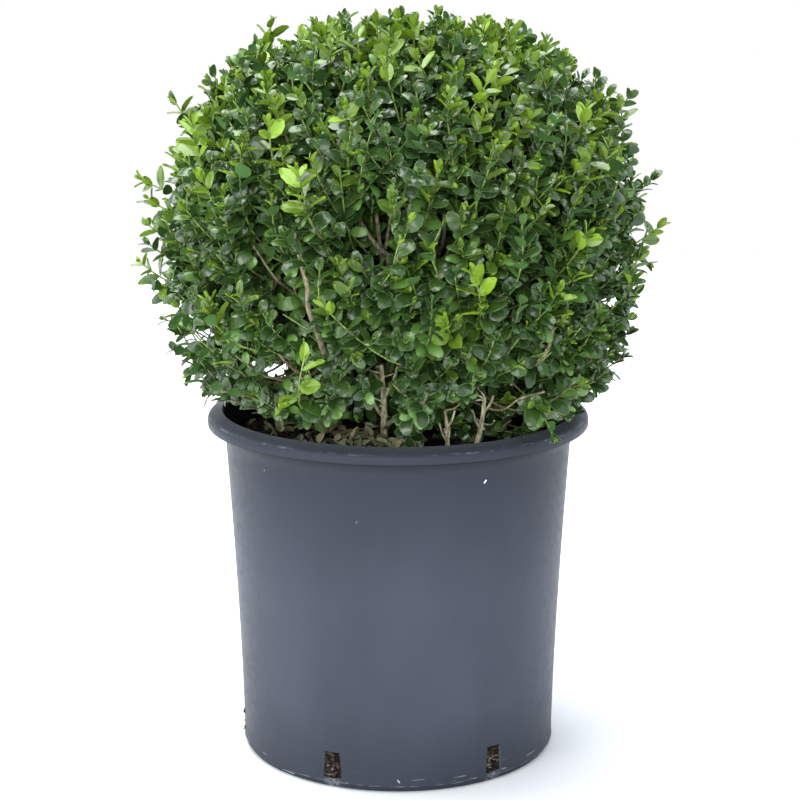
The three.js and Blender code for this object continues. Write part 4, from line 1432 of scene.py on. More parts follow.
class OBJECT_OT_box_ball_roots(bpy.types.Operator):
    """Models the crumbs of bark and the fine roots that show in the drain slots"""

    bl_idname = "object.box_ball_roots"
    bl_label = "Crumbs and roots in the slots"

    def execute(self, context):
        rng = np.random.default_rng(SEED + 1)
        count = SLOTS * SLOT_CRUMBS
        aside = SLOT_CRUMB_WIDTH * SLOT_WIDTH * (rng.random(count) - 0.5) / POT_WALL_FOOT_RADIUS
        angles = np.radians(np.repeat(SLOT_AZIMUTHS, SLOT_CRUMBS)) + aside
        outward = np.stack((np.sin(angles), -np.cos(angles), np.zeros(count)), axis=-1)
        proud = POT_WALL_FOOT_RADIUS - POT_WALL + SLOT_CRUMB_PROUD * rng.random(count) ** 2
        z = SLOT_LOW_Z + (SLOT_HIGH_Z - SLOT_LOW_Z) * rng.random(count)
        sizes = SLOT_CRUMB_LEAST + SLOT_CRUMB_SPREAD * rng.random(count) ** 2
        places = outward * proud[:, None] + z[:, None] * UP
        arrays = laid_copies(crumb_shape(), places, sizes, SLOT_CRUMB_TILT, rng, outward)
        strewn_piece("slot_crumbs", arrays, SLOT_TONES, SLOT_ODDS, count, rng)

        shares = np.linspace(0, 1, SLOT_ROOT_POINTS)[:, None]
        bulge = SLOT_ROOT_BULGE * np.sin(shares[:, 0] * math.pi)
        depth = POT_WALL_FOOT_RADIUS - 0.4 * POT_WALL + bulge
        paths = []
        for azimuth in np.repeat(SLOT_AZIMUTHS, SLOT_ROOTS):
            spans = (SLOT_ROOT_SPAN, SLOT_HIGH_Z - SLOT_LOW_Z)
            ends = rng.random((3, 2)) * spans + (-SLOT_ROOT_SPAN / 2, SLOT_LOW_Z)
            flat = bezier(*ends, shares)
            angle = math.radians(azimuth) + flat[:, 0] / depth
            paths.append(np.stack((np.sin(angle) * depth, -np.cos(angle) * depth, flat[:, 1]), axis=-1))
        paths = np.array(paths)
        thickness = SLOT_ROOT_LEAST + SLOT_ROOT_SPREAD * rng.random((len(paths), 1))
        radii = np.full(paths.shape[:2], SLOT_ROOT_RADIUS) * thickness
        arrays = tube_arrays(paths, radii, SLOT_ROOT_SIDES)
        roots = mesh_piece("slot_roots", *arrays, np.zeros(len(arrays[2])))
        smooth(roots, 60)
        material = crumb_material("root", (0.06, 0.045, 0.03), (0.32, 0.27, 0.21), 200.0)
        finish_piece(roots, "slot_roots", [material])
        return {"FINISHED"}


# Wood

def limb(course, radii):
    """A round tapering limb: a path drawn through the course, given its thickness and made a mesh."""
    deselect()
    bpy.ops.curve.primitive_nurbs_path_add()
    piece = bpy.context.object
    curve = piece.data
    spline = curve.splines[0]
    spline.type = "POLY"
    spline.points.add(len(course) - len(spline.points))
    for point, place, radius in zip(spline.points, course, radii):
        point.co = (*place, 1)
        point.radius = radius
    curve.dimensions = "3D"
    curve.bevel_depth = 1
    curve.bevel_resolution = 4
    curve.use_fill_caps = True
    bpy.ops.object.convert(target="MESH")
    piece = bpy.context.object
    edit(piece)
    bpy.ops.mesh.remove_doubles(threshold=MERGE_DISTANCE)
    bpy.ops.mesh.normals_make_consistent(inside=False)
    leave_edit()
    return piece


def knotted(radii, rng, spacing, swelling):
    """Radii with low swellings at the joints, where leaves once stood."""
    place = np.arange(len(radii)) + rng.random() * spacing
    return np.asarray(radii) * (1 + swelling * np.maximum(np.cos(place * TURN / spacing), 0) ** 3)


def trunk_profile():
    """The section of the trunk: its flat foot, the flare, and the knuckle that carries the boughs."""
    flare_top = TRUNK_FOOT_Z + TRUNK_FLARE_HEIGHT
    shaft = TRUNK_HEIGHT - TRUNK_FLARE_HEIGHT - TRUNK_KNUCKLE_CHAMFER
    shares = [ring / TRUNK_RINGS for ring in range(1, TRUNK_RINGS + 1)]
    profile = [(0, TRUNK_FOOT_Z), (TRUNK_FLARE_RADIUS, TRUNK_FOOT_Z)]
    for share in shares:
        radius = TRUNK_RADIUS + (TRUNK_FLARE_RADIUS - TRUNK_RADIUS) * (1 - share) ** TRUNK_FLARE_POWER
        profile.append((radius, TRUNK_FOOT_Z + TRUNK_FLARE_HEIGHT * share))
    for share in shares:
        radius = TRUNK_RADIUS + (TRUNK_KNUCKLE_RADIUS - TRUNK_RADIUS) * share ** 2
        profile.append((radius, flare_top + shaft * share))
    return profile + [(TRUNK_KNUCKLE_RADIUS - TRUNK_KNUCKLE_INSET, TRUNK_TOP_Z), (0, TRUNK_TOP_Z)]


class OBJECT_OT_box_ball_wood(bpy.types.Operator):
    """Models the trunk, its leader and its six boughs with the relief of their bark"""

    bl_idname = "object.box_ball_wood"
    bl_label = "Trunk and boughs"

    def execute(self, context):
        bark = bark_material("bark", context.scene.box_ball_plant.bark, 320.0, 0.0012)
        rng = np.random.default_rng(SEED + 2)
        trunk = turned(trunk_profile(), TRUNK_STEPS)
        relief(trunk, *TRUNK_RELIEF, lambda place: place.z > TRUNK_FOOT_Z + 0.001)
        smooth(trunk, 50)
        finish_piece(trunk, "trunk_bark", [bark], ("trunk",))
        for mass, side in enumerate(MASS_SIDES):
            leader = mass == 0
            root = LEADER_ROOT_RADIUS if leader else BOUGH_ROOT_RADIUS
            tip = LEADER_TIP_RADIUS if leader else BOUGH_TIP_RADIUS
            radii = knotted(np.linspace(root, tip, LIMB_SAMPLES), rng, *LIMB_KNOTS)
            piece = limb(LIMB_COURSES[mass], radii)
            relief(piece, *LIMB_RELIEF)
            smooth(piece, 50)
            node = "leader" if leader else "bough_" + side
            finish_piece(piece, node + "_bark", [bark], (node,))
        return {"FINISHED"}


def stem_course(foot, top, height, radius):
    """A front stem's course, from the mound up to a height, with the slight bend of the frame's stem."""
    inner = 1 - radius * (1 + STEM_SWELL) / math.hypot(*foot)
    z = float(mix_height(math.hypot(*foot) * inner)) + CLEARANCE
    root = np.array((*foot, z))
    tip = np.array((*top, z + height))
    bend = (root + tip) / 2 + (STEM_BEND, 0, 0)
    return smooth_course((root, bend, tip), STEM_SAMPLES)


def seen_courses():
    """The courses of the bare stems and branches at the front, and how far leaves stand from each."""
    courses = []
    for _, foot, top, height, radius, _ in FRONT_STEMS:
        courses.append((stem_course(foot, top, STEM_GROWTH * height, radius), STEM_CLEARING))
    for limb_number, place, _, _, apart, _, _, course in SEEN_WOOD:
        points = [LIMB_COURSES[limb_number][place]] + [sighted(*point) for point in course]
        courses.append((smooth_course(points, WOOD_SAMPLES), apart))
    return courses


def seen_stretches():
    """The points of the bare wood that the front shows, with how far the leaves before them stand apart."""
    stretches = seen_courses()
    for place, (*_, first, last, _) in enumerate(SEEN_WOOD, len(FRONT_STEMS)):
        course, apart = stretches[place]
        stretches[place] = (course[round(first * WOOD_SAMPLES):round(last * WOOD_SAMPLES)], apart)
    return stretches


class OBJECT_OT_box_ball_inner_wood(bpy.types.Operator):
    """Models the bare branches that show between the leaves at the front"""

    bl_idname = "object.box_ball_inner_wood"
    bl_label = "Inner branches"

    def execute(self, context):
        rgb = scaled(context.scene.box_ball_plant.bark, BRANCH_PALENESS)
        bark = bark_material("branch_bark", rgb, 380.0, 0.0008)
        rng = np.random.default_rng(SEED + 5)
        branches = []
        for (course, _), (_, _, root, tip, *_) in zip(seen_courses()[len(FRONT_STEMS):], SEEN_WOOD):
            radii = knotted(np.linspace(root, tip, len(course)), rng, *BRANCH_KNOTS)
            branches.append(limb(course, radii))
        piece = join(branches)
        relief(piece, *BRANCH_RELIEF)
        smooth(piece, 50)
        finish_piece(piece, "inner_branches_bark", [bark])
        return {"FINISHED"}


def side_twigs(course, rng):
    """Dry side twigs of a bare stem, to either hand, at uneven heights from a third of its height up."""
    rise = course[-1][2] - course[0][2]
    count = round(SIDE_TWIG_STRETCH * rise / SIDE_TWIG_STEP)
    heights = course[0][2] + rise * (1 - SIDE_TWIG_STRETCH * rng.random(count))
    twigs = []
    for z in heights:
        start = course[np.argmin(abs(course[:, 2] - z))]
        way = np.array((rng.choice((-1, 1)), *SIDE_TWIG_WAY)) + SIDE_TWIG_STRAY * rng.normal(size=3)
        end = start + SIDE_TWIG_REACH * (SIDE_TWIG_LEAST + rng.random()) * unit(way)
        bend = (start + end) / 2 + SIDE_TWIG_BOW * rng.normal(size=3)
        path = smooth_course((start, bend, end), SIDE_TWIG_SAMPLES)
        twigs.append(limb(path, np.linspace(*SIDE_TWIG_RADII, SIDE_TWIG_SAMPLES)))
    return twigs


def prong(course, hand, fork, height, radius, rng):
    """One prong of a front stem's fork, to the left or the right hand, one a little lower than the other."""
    share = fork + hand * PRONG_UNEVEN
    low = course[round((share - PRONG_START) * (len(course) - 1))]
    high = course[round(share * (len(course) - 1))]
    high = high + (hand * PRONG_SPREAD * height, -PRONG_FORWARD * hand, PRONG_RISE * (1 - fork) * height)
    path = smooth_course((low, low + (high - low) * PRONG_BEND, high), PRONG_SAMPLES)
    radii = np.linspace(radius * PRONG_RADIUS, radius * PRONG_TIP_RADIUS, PRONG_SAMPLES)
    return limb(path, knotted(radii, rng, *PRONG_KNOTS))


class OBJECT_OT_box_ball_stems(bpy.types.Operator):
    """Models the bare forked stems that rise from the mix at the front"""

    bl_idname = "object.box_ball_stems"
    bl_label = "Front stems"

    def execute(self, context):
        # Pale bark, and painted light in the shade under the crown
        rgb = scaled(context.scene.box_ball_plant.bark, STEM_PALENESS_AND_LIGHT)
        bark = bark_material("pale_bark", rgb, 420.0, 0.0008)
        rng = np.random.default_rng(SEED + 3)
        for name, foot, top, height, radius, fork in FRONT_STEMS:
            course = stem_course(foot, top, STEM_GROWTH * height, radius)
            shares = np.linspace(0, 1, len(course))
            swollen = radius * (1 - (1 - STEM_TAPER) * shares) * (1 + STEM_SWELL * (1 - shares) ** 6)
            parts = [limb(course, knotted(swollen, rng, *STEM_KNOTS))]
            parts += [prong(course, hand, fork, height, radius, rng) for hand in (-1, 1)]
            parts += side_twigs(course, rng)
            piece = join(parts)
            relief(piece, *STEM_RELIEF)
            smooth(piece, 50)
            finish_piece(piece, name + "_bark", [bark], (name,))
        return {"FINISHED"}


# Leaves

def leaf_shape(form, edged=False):
    """One leaf of unit length and width along +Y, closed below. Its underside has the second material number,
    and its edge, if that is told apart from the blade, the third. Each row is set aside once it is shaped, so
    that it isn't taken for another."""
    stations, widths, lifts, fold = form
    rows = len(stations)
    deselect()
    bpy.ops.mesh.primitive_grid_add(x_subdivisions=4 if edged else 2, y_subdivisions=rows - 1, size=1)
    leaf = bpy.context.object
    if edged:
        edit(leaf, lambda place: abs(abs(place.x) - 0.25) < LEAF_NEAR)
        bpy.ops.transform.resize(value=(2 * LEAF_EDGE, 1, 1), center_override=(0, 0, 0))
        leave_edit()
    for row, (station, width, lift) in enumerate(zip(stations, widths, lifts)):
        height = -0.5 + row / (rows - 1)
        edit(leaf, lambda place: abs(place.y - height) < LEAF_NEAR and place.z == 0)
        bpy.ops.transform.resize(value=(2 * width, 1, 1), center_override=(0, height, 0))
        bpy.ops.transform.translate(value=(0, station - height + LEAF_ROW_ASIDE, lift))
        if width == 0:
            bpy.ops.mesh.merge(type="CENTER")
        leave_edit()
    edit(leaf)
    bpy.ops.transform.translate(value=(0, -LEAF_ROW_ASIDE, 0))
    leave_edit()
    last = stations[-1] - LEAF_NEAR
    edit(leaf, lambda place: abs(place.x) < LEAF_NEAR < place.y < last)
    bpy.ops.transform.translate(value=(0, 0, fold))
    leave_edit()
    return closed_blade(leaf, fold < 0)


def closed_blade(leaf, cupped):
    """Closes a one-sided blade: with a parallel underside if it is cupped, and otherwise straight across."""
    mesh = leaf.data
    tops = [tuple(face.vertices) for face in mesh.polygons]
    points = [tuple(vertex.co) for vertex in mesh.vertices]
    bpy.data.objects.remove(leaf)
    rows = {}
    for i, point in enumerate(points):
        rows.setdefault(round(point[1], 3), []).append(i)
    rows = [sorted(rows[y], key=lambda i: points[i][0]) for y in sorted(rows)]
    ends = (rows[0][0], rows[-1][0])
    edges = {i for row in rows for i in (row[0], row[-1])}
    if cupped:
        under = {}
        for i in sorted(set(range(len(points))) - edges):
            under[i] = len(points)
            points.append((points[i][0], points[i][1], points[i][2] - BLADE_THICKNESS))
        bottoms = [tuple(under.get(i, i) for i in reversed(face)) for face in tops]
    else:
        inner = rows[1:-1]
        bottoms = [(ends[0], inner[0][0], inner[0][-1])]
        for low, high in zip(inner, inner[1:]):
            bottoms.append((low[0], high[0], high[-1], low[-1]))
        bottoms.append((inner[-1][0], ends[1], inner[-1][-1]))
    edged = len(rows[1]) > 3
    tones = [2 if edged and (edges - set(ends)) & set(face) else 0 for face in tops] + [1] * len(bottoms)
    return np.array(points), tops + bottoms, np.array(tones)


def sighted(x, z, y):
    """The point at a depth y that the eye sees at x and z of the plane through the crown's middle."""
    seen = np.array((x, 0.0, z))
    return EYE + (seen - EYE) * (y - EYE[1]) / (seen[1] - EYE[1])


def sight_point(x, z, surface):
    """Where the line from the eye through a point of the plane through the crown's middle first meets the
    clipped surface, or a share of it, as a way from the crown's centre."""
    line = unit(sighted(x, z, 0.0) - EYE)
    runs = np.linspace(*SIGHT_RUNS)
    points = EYE + runs[:, None] * line - CROWN_CENTRE
    reach = np.linalg.norm(points, axis=1)
    inside = reach < surface * crown_radius(unit(points))
    first = np.argmax(inside) if inside.any() else np.argmin(reach / crown_radius(unit(points)))
    return unit(points[first])


def seen_surface(x, z):
    """The point of the clipped surface that the eye sees at x and z of the plane through the middle."""
    way = sight_point(x, z, 1.0)
    return CROWN_CENTRE + way * crown_radius(way)


def nearer(points, place):
    """Which points lie nearer the eye than a place does."""
    return np.linalg.norm(points - EYE, axis=-1) < np.linalg.norm(place - EYE)


def line_distance(points, target):
    """How far points lie from the eye's line through a target."""
    line = unit(target - EYE)
    from_eye = points - EYE
    return np.linalg.norm(from_eye - (from_eye @ line)[..., None] * line, axis=-1)


def shoot_axis(ways):
    """Shoots grow outwards and turn up towards the light, the lowest ones a little less."""
    share = np.clip((ways[..., 2] - LIFT_LOW_RISE) / LIFT_RISES, 0, 1)
    lift = SHOOT_LIFT * (LIFT_LEAST + (1 - LIFT_LEAST) * share)
    return unit(SHOOT_OUTWARD * ways + lift[..., None] * UP)


def unevenness(ways):
    """Low swells and hollows between the neighbouring shoots of a clipped surface, from -1 to 1."""
    x, y, z = np.moveaxis(ways, -1, 0)
    wide = np.sin(13 * x + 5 * z) * np.sin(11 * y - 7 * z + 1)
    narrow = np.sin(17 * z + 6 * y) * np.sin(15 * x - 3 * y)
    return (wide + narrow) / 2


def ring_of_shoots(count, rng, jitter, low, high, lengths, kinds, odds):
    """Shoots spread over the crown: their ways, tips' shares of the surface, lengths and kinds."""
    ways = unit(golden_ways(count) + jitter * rng.normal(size=(count, 3)))
    shares = low + (high - low) * rng.random(count)
    spans = lengths[0] + (lengths[1] - lengths[0]) * rng.random(count)
    drawn = rng.choice(kinds, count, p=odds)
    return ways, shares, spans, drawn


def outer_shoots(count, rng):
    """The shoots of the clipped surface, of kinds that grow more strongly higher up: young growth and painted
    light.
    """
    ways, places, spans, _ = ring_of_shoots(count, rng, *OUTER_RING)
    rises = ways[:, 2]
    stray = places + TIP_UNEVENNESS * unevenness(ways)
    shares = np.interp(rises, TIP_RISES, TIP_REACHES) + TIP_SPREAD * stray
    kinds = np.searchsorted(KIND_STEPS, rng.random(count) - KIND_BY_RISE * rises + KIND_SHIFT)
    return ways, shares, spans, kinds


def skirt_shoots(rng):
    """Short shoots low down, which hide the mix from the side."""
    azimuths = np.arange(SKIRT_SHOOTS) * GOLDEN
    radius = SKIRT_RADIUS + SKIRT_BAND * rng.random(SKIRT_SHOOTS)
    heights = SKIRT_TIP_Z + SKIRT_TIP_RISE * rng.random(SKIRT_SHOOTS)
    tips = np.stack((radius * np.sin(azimuths), -radius * np.cos(azimuths), heights), axis=-1)
    ways = unit(tips - CROWN_CENTRE)
    shares = np.linalg.norm(tips - CROWN_CENTRE, axis=1) / crown_radius(ways)
    kinds = rng.choice(SKIRT_KINDS, SKIRT_SHOOTS, p=SKIRT_ODDS)
    return ways, shares, np.full(SKIRT_SHOOTS, SKIRT_LENGTH), kinds


def sprigs():
    """The sprigs that the shears missed and the young ones that the front shows."""
    ways = [heading(azimuth, elevation) for azimuth, elevation, _ in LONG_SPRIGS]
    ways += [sight_point(x, z, reach) for x, z, reach in YOUNG_SPRIGS]
    shares = [past - SPRIG_TIP_LEAVES for *_, past in LONG_SPRIGS] + [reach for *_, reach in YOUNG_SPRIGS]
    kinds = [FAIR] * len(LONG_SPRIGS) + [TENDER] * len(YOUNG_SPRIGS)
    return np.array(ways), np.array(shares), np.full(len(ways), SPRIG_LENGTH), np.array(kinds)


def all_shoots(settings, rng):
    """The shoots of the crown by their ways, tips' shares, lengths and kinds."""
    groups = [outer_shoots(settings.outer_shoots, rng)]
    for part, *ring in INNER_RINGS:
        groups.append(ring_of_shoots(settings.inner_shoots // part, rng, *ring))
    groups += [skirt_shoots(rng), sprigs()]
    return [np.concatenate(parts) for parts in zip(*groups)]


def seen_shoots():
    """The feet, bends, tips, lengths, kinds and masses of the shoots that the front shows one by one."""
    feet = np.array([sighted(*foot, near) for foot, _, near, _, _ in SEEN_SHOOTS])
    tips = np.array([sighted(*tip, far) for _, tip, _, far, _ in SEEN_SHOOTS])
    outward = unit((tips - CROWN_CENTRE) * (1, 1, 0))
    bow = SEEN_BOW * UP * np.sign(feet[:, 2:] - tips[:, 2:])
    bends = (feet + tips) / 2 + bow + SEEN_BULGE * outward
    lengths = np.linalg.norm(tips - feet, axis=1)
    kinds = np.array([SHOOT_KINDS.index(kind) for *_, kind in SEEN_SHOOTS])
    return feet, bends, tips, lengths, kinds, mass_of(unit(feet - CROWN_CENTRE))


def mass_stem(mass):
    """The stem of a mass, on from its bough's tip to the middle of the mass."""
    before, tip = LIMB_COURSES[mass][-2:]
    onwards = unit(tip - before)
    seat = tip + onwards * CLEARANCE
    return smooth_course((seat, seat + MASS_STEM_LEAD * onwards, mass_middle(mass)), BRANCH_POINTS)


def branch_paths(rng):
    """The stem of each mass and the branches that fork from it or from its bough and end under the shoots:
    their paths, radii and masses."""
    ways = golden_ways(BRANCHES)
    owners = mass_of(ways)
    paths, radii, masses = [], [], []
    for mass in range(len(MASS_SIDES)):
        stem = mass_stem(mass)
        thick = LEADER_TIP_RADIUS if mass == 0 else BOUGH_TIP_RADIUS
        paths.append(stem)
        radii.append(np.linspace(thick, MASS_STEM_TAPER * thick, BRANCH_POINTS))
        masses.append(mass)
        for way in ways[owners == mass]:
            stretch = BRANCH_LEAST + BRANCH_SPREAD * rng.random()
            end = CROWN_CENTRE + way * BRANCH_REACH * crown_radius(way) * stretch
            if end[2] < POT_HEIGHT + BRANCH_ABOVE_RIM:
                continue
            if mass and end[2] < mass_middle(mass)[2] - LOW_BRANCH:
                source = LIMB_COURSES[mass][rng.integers(*BOUGH_FORKS)]
            else:
                source = stem[rng.integers(*MASS_STEM_FORKS)]
            turn = source + (end - source) * 0.5 + BRANCH_SWAY * rng.normal(size=3) - BRANCH_SAG * UP
            rise = end - BRANCH_UPTURN * shoot_axis(way)
            paths.append(smooth_course((source, turn, rise, end), BRANCH_POINTS))
            radii.append(np.linspace(*BRANCH_RADII, BRANCH_POINTS))
            masses.append(mass)
    return np.array(paths), np.array(radii), np.array(masses)


def near_roots(feet, masses, branch_points, branch_masses, rng):
    """For each shoot's foot, a near point of the branches of its mass."""
    roots = np.empty_like(feet)
    for mass in range(len(MASS_SIDES)):
        mine = np.flatnonzero(masses == mass)
        near = branch_points[branch_masses == mass]
        away = np.linalg.norm(feet[mine][:, None] - near[None], axis=-1)
        away = away * (1 + ROOT_CHOICE * rng.random(away.shape))
        roots[mine] = near[np.argmin(away, axis=1)]
    return roots


def grown_shoots(settings, rng, branch_points, branch_masses):
    """The courses of the shoots and of the twigs that carry them, from a near branch of their mass."""
    ways, shares, spans, kinds = all_shoots(settings, rng)
    tips = CROWN_CENTRE + ways * (shares * crown_radius(ways))[:, None]
    ends = unit(shoot_axis(ways) + TIP_STRAY * rng.normal(size=ways.shape))
    starts = unit(ways + FOOT_TURN * ends + FOOT_STRAY * rng.normal(size=ways.shape))
    bends = tips - ends * spans[:, None] * UPPER_HALF
    feet = bends - starts * spans[:, None] * LOWER_HALF
    over_mouth = np.hypot(tips[:, 0], tips[:, 1]) < MOUTH_RADIUS
    roomy = tips[:, 2] > np.where(over_mouth, MOUTH_TIP_Z, POT_HEIGHT + TIP_ABOVE_RIM)
    for points, above in ((feet, FOOT_ABOVE_MIX), (bends, BEND_LIFT * FOOT_ABOVE_MIX)):
        radius = np.hypot(points[:, 0], points[:, 1])
        floor = np.where(radius < RIM_INNER_RADIUS - FOOT_INSIDE_RIM, mix_height(radius), POT_HEIGHT) + above
        points[:, 2] = np.maximum(points[:, 2], floor)
    made = [part[roomy] for part in (feet, bends, tips, spans, kinds, mass_of(ways))]
    feet, bends, tips, spans, kinds, masses = [np.concatenate(parts) for parts in zip(made, seen_shoots())]
    roots = near_roots(feet, masses, branch_points, branch_masses, rng)
    return [roots, feet, bends, tips, spans, kinds, masses]


def across_daylight(paths):
    """Which paths cross the lines of sight through the seen gaps."""
    crossing = np.zeros(len(paths), bool)
    steps = np.concatenate((paths[:, :-1], (paths[:, :-1] + paths[:, 1:]) / 2), axis=1)
    for x, z, radius in SKY_GAPS + MOUTH_GAPS:
        if radius > TWIG_GAP_RADIUS:
            crossing |= (line_distance(steps, sighted(x, z, 0.0)) < radius).any(axis=1)
    return crossing


def across_hollows(paths):
    """Which paths cross the dark hollows of the front."""
    crossing = np.zeros(len(paths), bool)
    for x, z, radius, depth in DARK_HOLLOWS:
        surface = seen_surface(x, z)
        near = np.linalg.norm(paths - surface, axis=-1) < depth
        crossing |= (near & (line_distance(paths, surface) < TWIG_HOLLOW * radius)).any(axis=1)
    return crossing


def across_wood(paths):
    """Which paths run before the bare wood that the front shows, by more than one of their points."""
    before_wood = np.zeros(paths.shape[:2], bool)
    for course, apart in seen_stretches():
        for place in course:
            before_wood |= nearer(paths, place) & (line_distance(paths, place) < TWIG_WOOD * apart)
    return before_wood.sum(axis=1) > 1


def bezier(first, bend, last, shares):
    return first * (1 - shares) ** 2 + 2 * bend * shares * (1 - shares) + last * shares ** 2


def twig_paths(roots, feet, bends, tips):
    """One path for each shoot: from its branch to the shoot's foot, and on to the tip."""
    lead = feet - (bends - feet) * TWIG_LEAD
    into = np.linspace(0, 1, LEAD_POINTS, endpoint=False)[None, :, None]
    onward = np.linspace(0, 1, SHOOT_POINTS)[None, :, None]
    low = bezier(roots[:, None], lead[:, None], feet[:, None], into)
    high = bezier(feet[:, None], bends[:, None], tips[:, None], onward)
    return np.concatenate((low, high), axis=1)


def placed_leaves(shoots, rng):
    """Crossed pairs of leaves down every shoot: roots, blade ways, faces' ways, sizes, tones and masses."""
    _, feet, bends, tips, spans, kinds, masses = shoots
    count = len(tips)
    pairs = len(PAIR_PLACES)
    places = np.array(PAIR_PLACES) * (PAIR_STRETCH_LEAST + PAIR_STRETCH_SPREAD * rng.random((count, 1)))
    shares = (1 - places / spans[:, None])[:, :, None]
    roots = bezier(feet[:, None], bends[:, None], tips[:, None], shares)
    along = unit(2 * (1 - shares) * (bends - feet)[:, None] + 2 * shares * (tips - bends)[:, None])
    side = unit(np.cross(along, OFF_UP))
    over = np.cross(along, side)
    turns = TURN * rng.random((count, 1)) + np.arange(pairs) * math.pi / 2
    turns = turns + PAIR_TURN_STRAY * rng.normal(size=(count, pairs))
    out = side * np.cos(turns)[..., None] + over * np.sin(turns)[..., None]
    out = np.stack((out, -out), axis=2)
    along = along[:, :, None]
    angles = np.array(PAIR_ANGLES)[None, :, None] + ANGLE_SPREAD * rng.normal(size=(count, pairs, 2))
    angles = np.radians(np.clip(angles, *ANGLE_LIMITS))[..., None]
    blades = along * np.cos(angles) + out * np.sin(angles)
    faces = along * np.sin(angles) - out * np.cos(angles)
    droop = LEAF_DROOP * np.linspace(0, 1, pairs)[None, :, None, None]
    blades = unit(blades - droop * UP)
    outward = unit(roots - CROWN_CENTRE)[:, :, None]
    faces = faces + LEAF_TO_LIGHT * unit(UP + LEAF_LIGHT_OUTWARD * outward)
    faces = faces + LEAF_ROLL * np.cross(faces, blades) * rng.normal(size=angles.shape)
    faces = unit(faces - blades * np.sum(faces * blades, axis=-1, keepdims=True))
    sizes = np.array(PAIR_SIZES)[None, :, None] * VIGOUR[kinds][:, None, None]
    sizes = sizes * (LEAF_SIZE_LEAST + LEAF_SIZE_SPREAD * rng.random((count, pairs, 2)))
    tones = np.repeat(SHOOT_TONES[kinds][:, :, None], 2, axis=2)
    shifted = rng.random(tones.shape)
    tones = np.clip(tones + (shifted > 1 - TONE_SHIFT) - (shifted < TONE_SHIFT), DEEP, NEWEST)
    kept = rng.random(tones.shape) > np.array(PAIR_LOSSES)[None, :, None]
    kept &= np.broadcast_to(shares > LEAFLESS_FOOT, tones.shape)
    roots = np.broadcast_to(roots[:, :, None], blades.shape)
    masses = np.broadcast_to(masses[:, None, None], tones.shape)
    return [part[kept] for part in (roots, blades, faces, sizes, tones, masses)]


def in_the_clear(roots, blades, lengths, rng):
    """Which leaves keep clear of the mix, the rim, the seen gaps, the dark hollows and the seen wood."""
    middles = roots + 0.5 * blades * lengths[:, None]
    tips = roots + blades * lengths[:, None]
    clear = np.ones(len(roots), bool)
    for points in (roots, middles, tips):
        radius = np.hypot(points[:, 0], points[:, 1])
        inside = radius < RIM_INNER_RADIUS - LEAF_MARGIN
        rest = np.where(inside, mix_height(radius) + LEAF_MARGIN, POT_HEIGHT + LEAF_ABOVE_RIM)
        clear &= (points[:, 2] > rest) | (radius > RIM_RADIUS + LEAF_PAST_RIM)
    for x, z, radius in SKY_GAPS + MOUTH_GAPS:
        margin = min(GAP_MARGIN, GAP_MARGIN_SLOPE * radius) * lengths
        clear &= line_distance(middles, sighted(x, z, 0.0)) > radius + margin
    for x, z, radius, depth in DARK_HOLLOWS:
        surface = seen_surface(x, z)
        near = np.linalg.norm(middles - surface, axis=1) < depth
        clear &= ~((line_distance(middles, surface) < radius) & near)
    crossing = rng.random(len(roots)) < LEAVES_BEFORE_WOOD
    for course, apart in seen_stretches():
        for place in course:
            close = line_distance(middles, place) < apart + WOOD_MARGIN * lengths
            clear &= ~(nearer(middles, place) & ~crossing & close)
    return clear


def leaf_points(points, roots, blades, faces, lengths, widths, chosen):
    """The points of the chosen leaves, each a copy of one leaf set on its root and turned its way."""
    blade = blades[chosen]
    face = faces[chosen]
    long = lengths[chosen][:, None]
    basis = np.stack((np.cross(blade, face) * widths[chosen][:, None], blade * long, face * long), axis=1)
    return roots[chosen][:, None, :] + points[None] @ basis


def leaf_tone(settings, name, youth, brightness, roughness):
    """The material of one tone, between the colours of a grown leaf and of a newest one."""
    ends = zip(settings.leaf, settings.young_leaf)
    blend = [(old * (1 - youth) + new * youth) * brightness for old, new in ends]
    return leaf_material(name, blend, roughness, LEAF_SPECULAR)


def leaf_finishes(settings):
    """Materials of the tones, the grown leaf's underside, its painted-highlight edge and the young underside.
    """
    upper = [leaf_tone(settings, *tone[:4]) for tone in TONES]
    edge = [share * part for share, part in zip(EDGE_HIGHLIGHT_TINT, scaled(settings.leaf, EDGE_HIGHLIGHT_PALENESS))]
    lower = (
        leaf_material("leaf_underside", scaled(settings.leaf, 2.0), 0.5, 0.35),
        leaf_material("leaf_edge", edge, 0.4),
        leaf_material("young_underside", scaled(settings.young_leaf, 0.8), 0.5, 0.35),
    )
    return upper, lower


def foliage_twigs(side, branches, branch_radii, twigs, lit, materials):
    """The branches and twigs of one mass, with green bark on the outer part of the twigs in the light."""
    wood = tube_arrays(branches, branch_radii, BRANCH_SIDES)
    last = LEAD_POINTS + SHOOT_POINTS - 1
    twig_radii = np.interp(np.arange(last + 1), (0, LEAD_POINTS, last), TWIG_RADII)
    fine = tube_arrays(twigs, np.tile(twig_radii, (len(twigs), 1)), TWIG_SIDES)
    per_twig = len(fine[2]) // len(twigs)
    is_green = (np.arange(per_twig) >= LEAD_POINTS * TWIG_SIDES) & lit[:, None]
    points = np.vstack((wood[0], fine[0]))
    loops = np.concatenate((wood[1], fine[1] + len(wood[0])))
    face_sizes = np.concatenate((wood[2], fine[2]))
    face_tones = np.concatenate((np.zeros(len(wood[2])), is_green.ravel()))
    piece = mesh_piece("foliage_" + side + "_twigs", points, loops, face_sizes, face_tones)
    smooth(piece, 60)
    finish_piece(piece, piece.name, materials, ("foliage_" + side,))


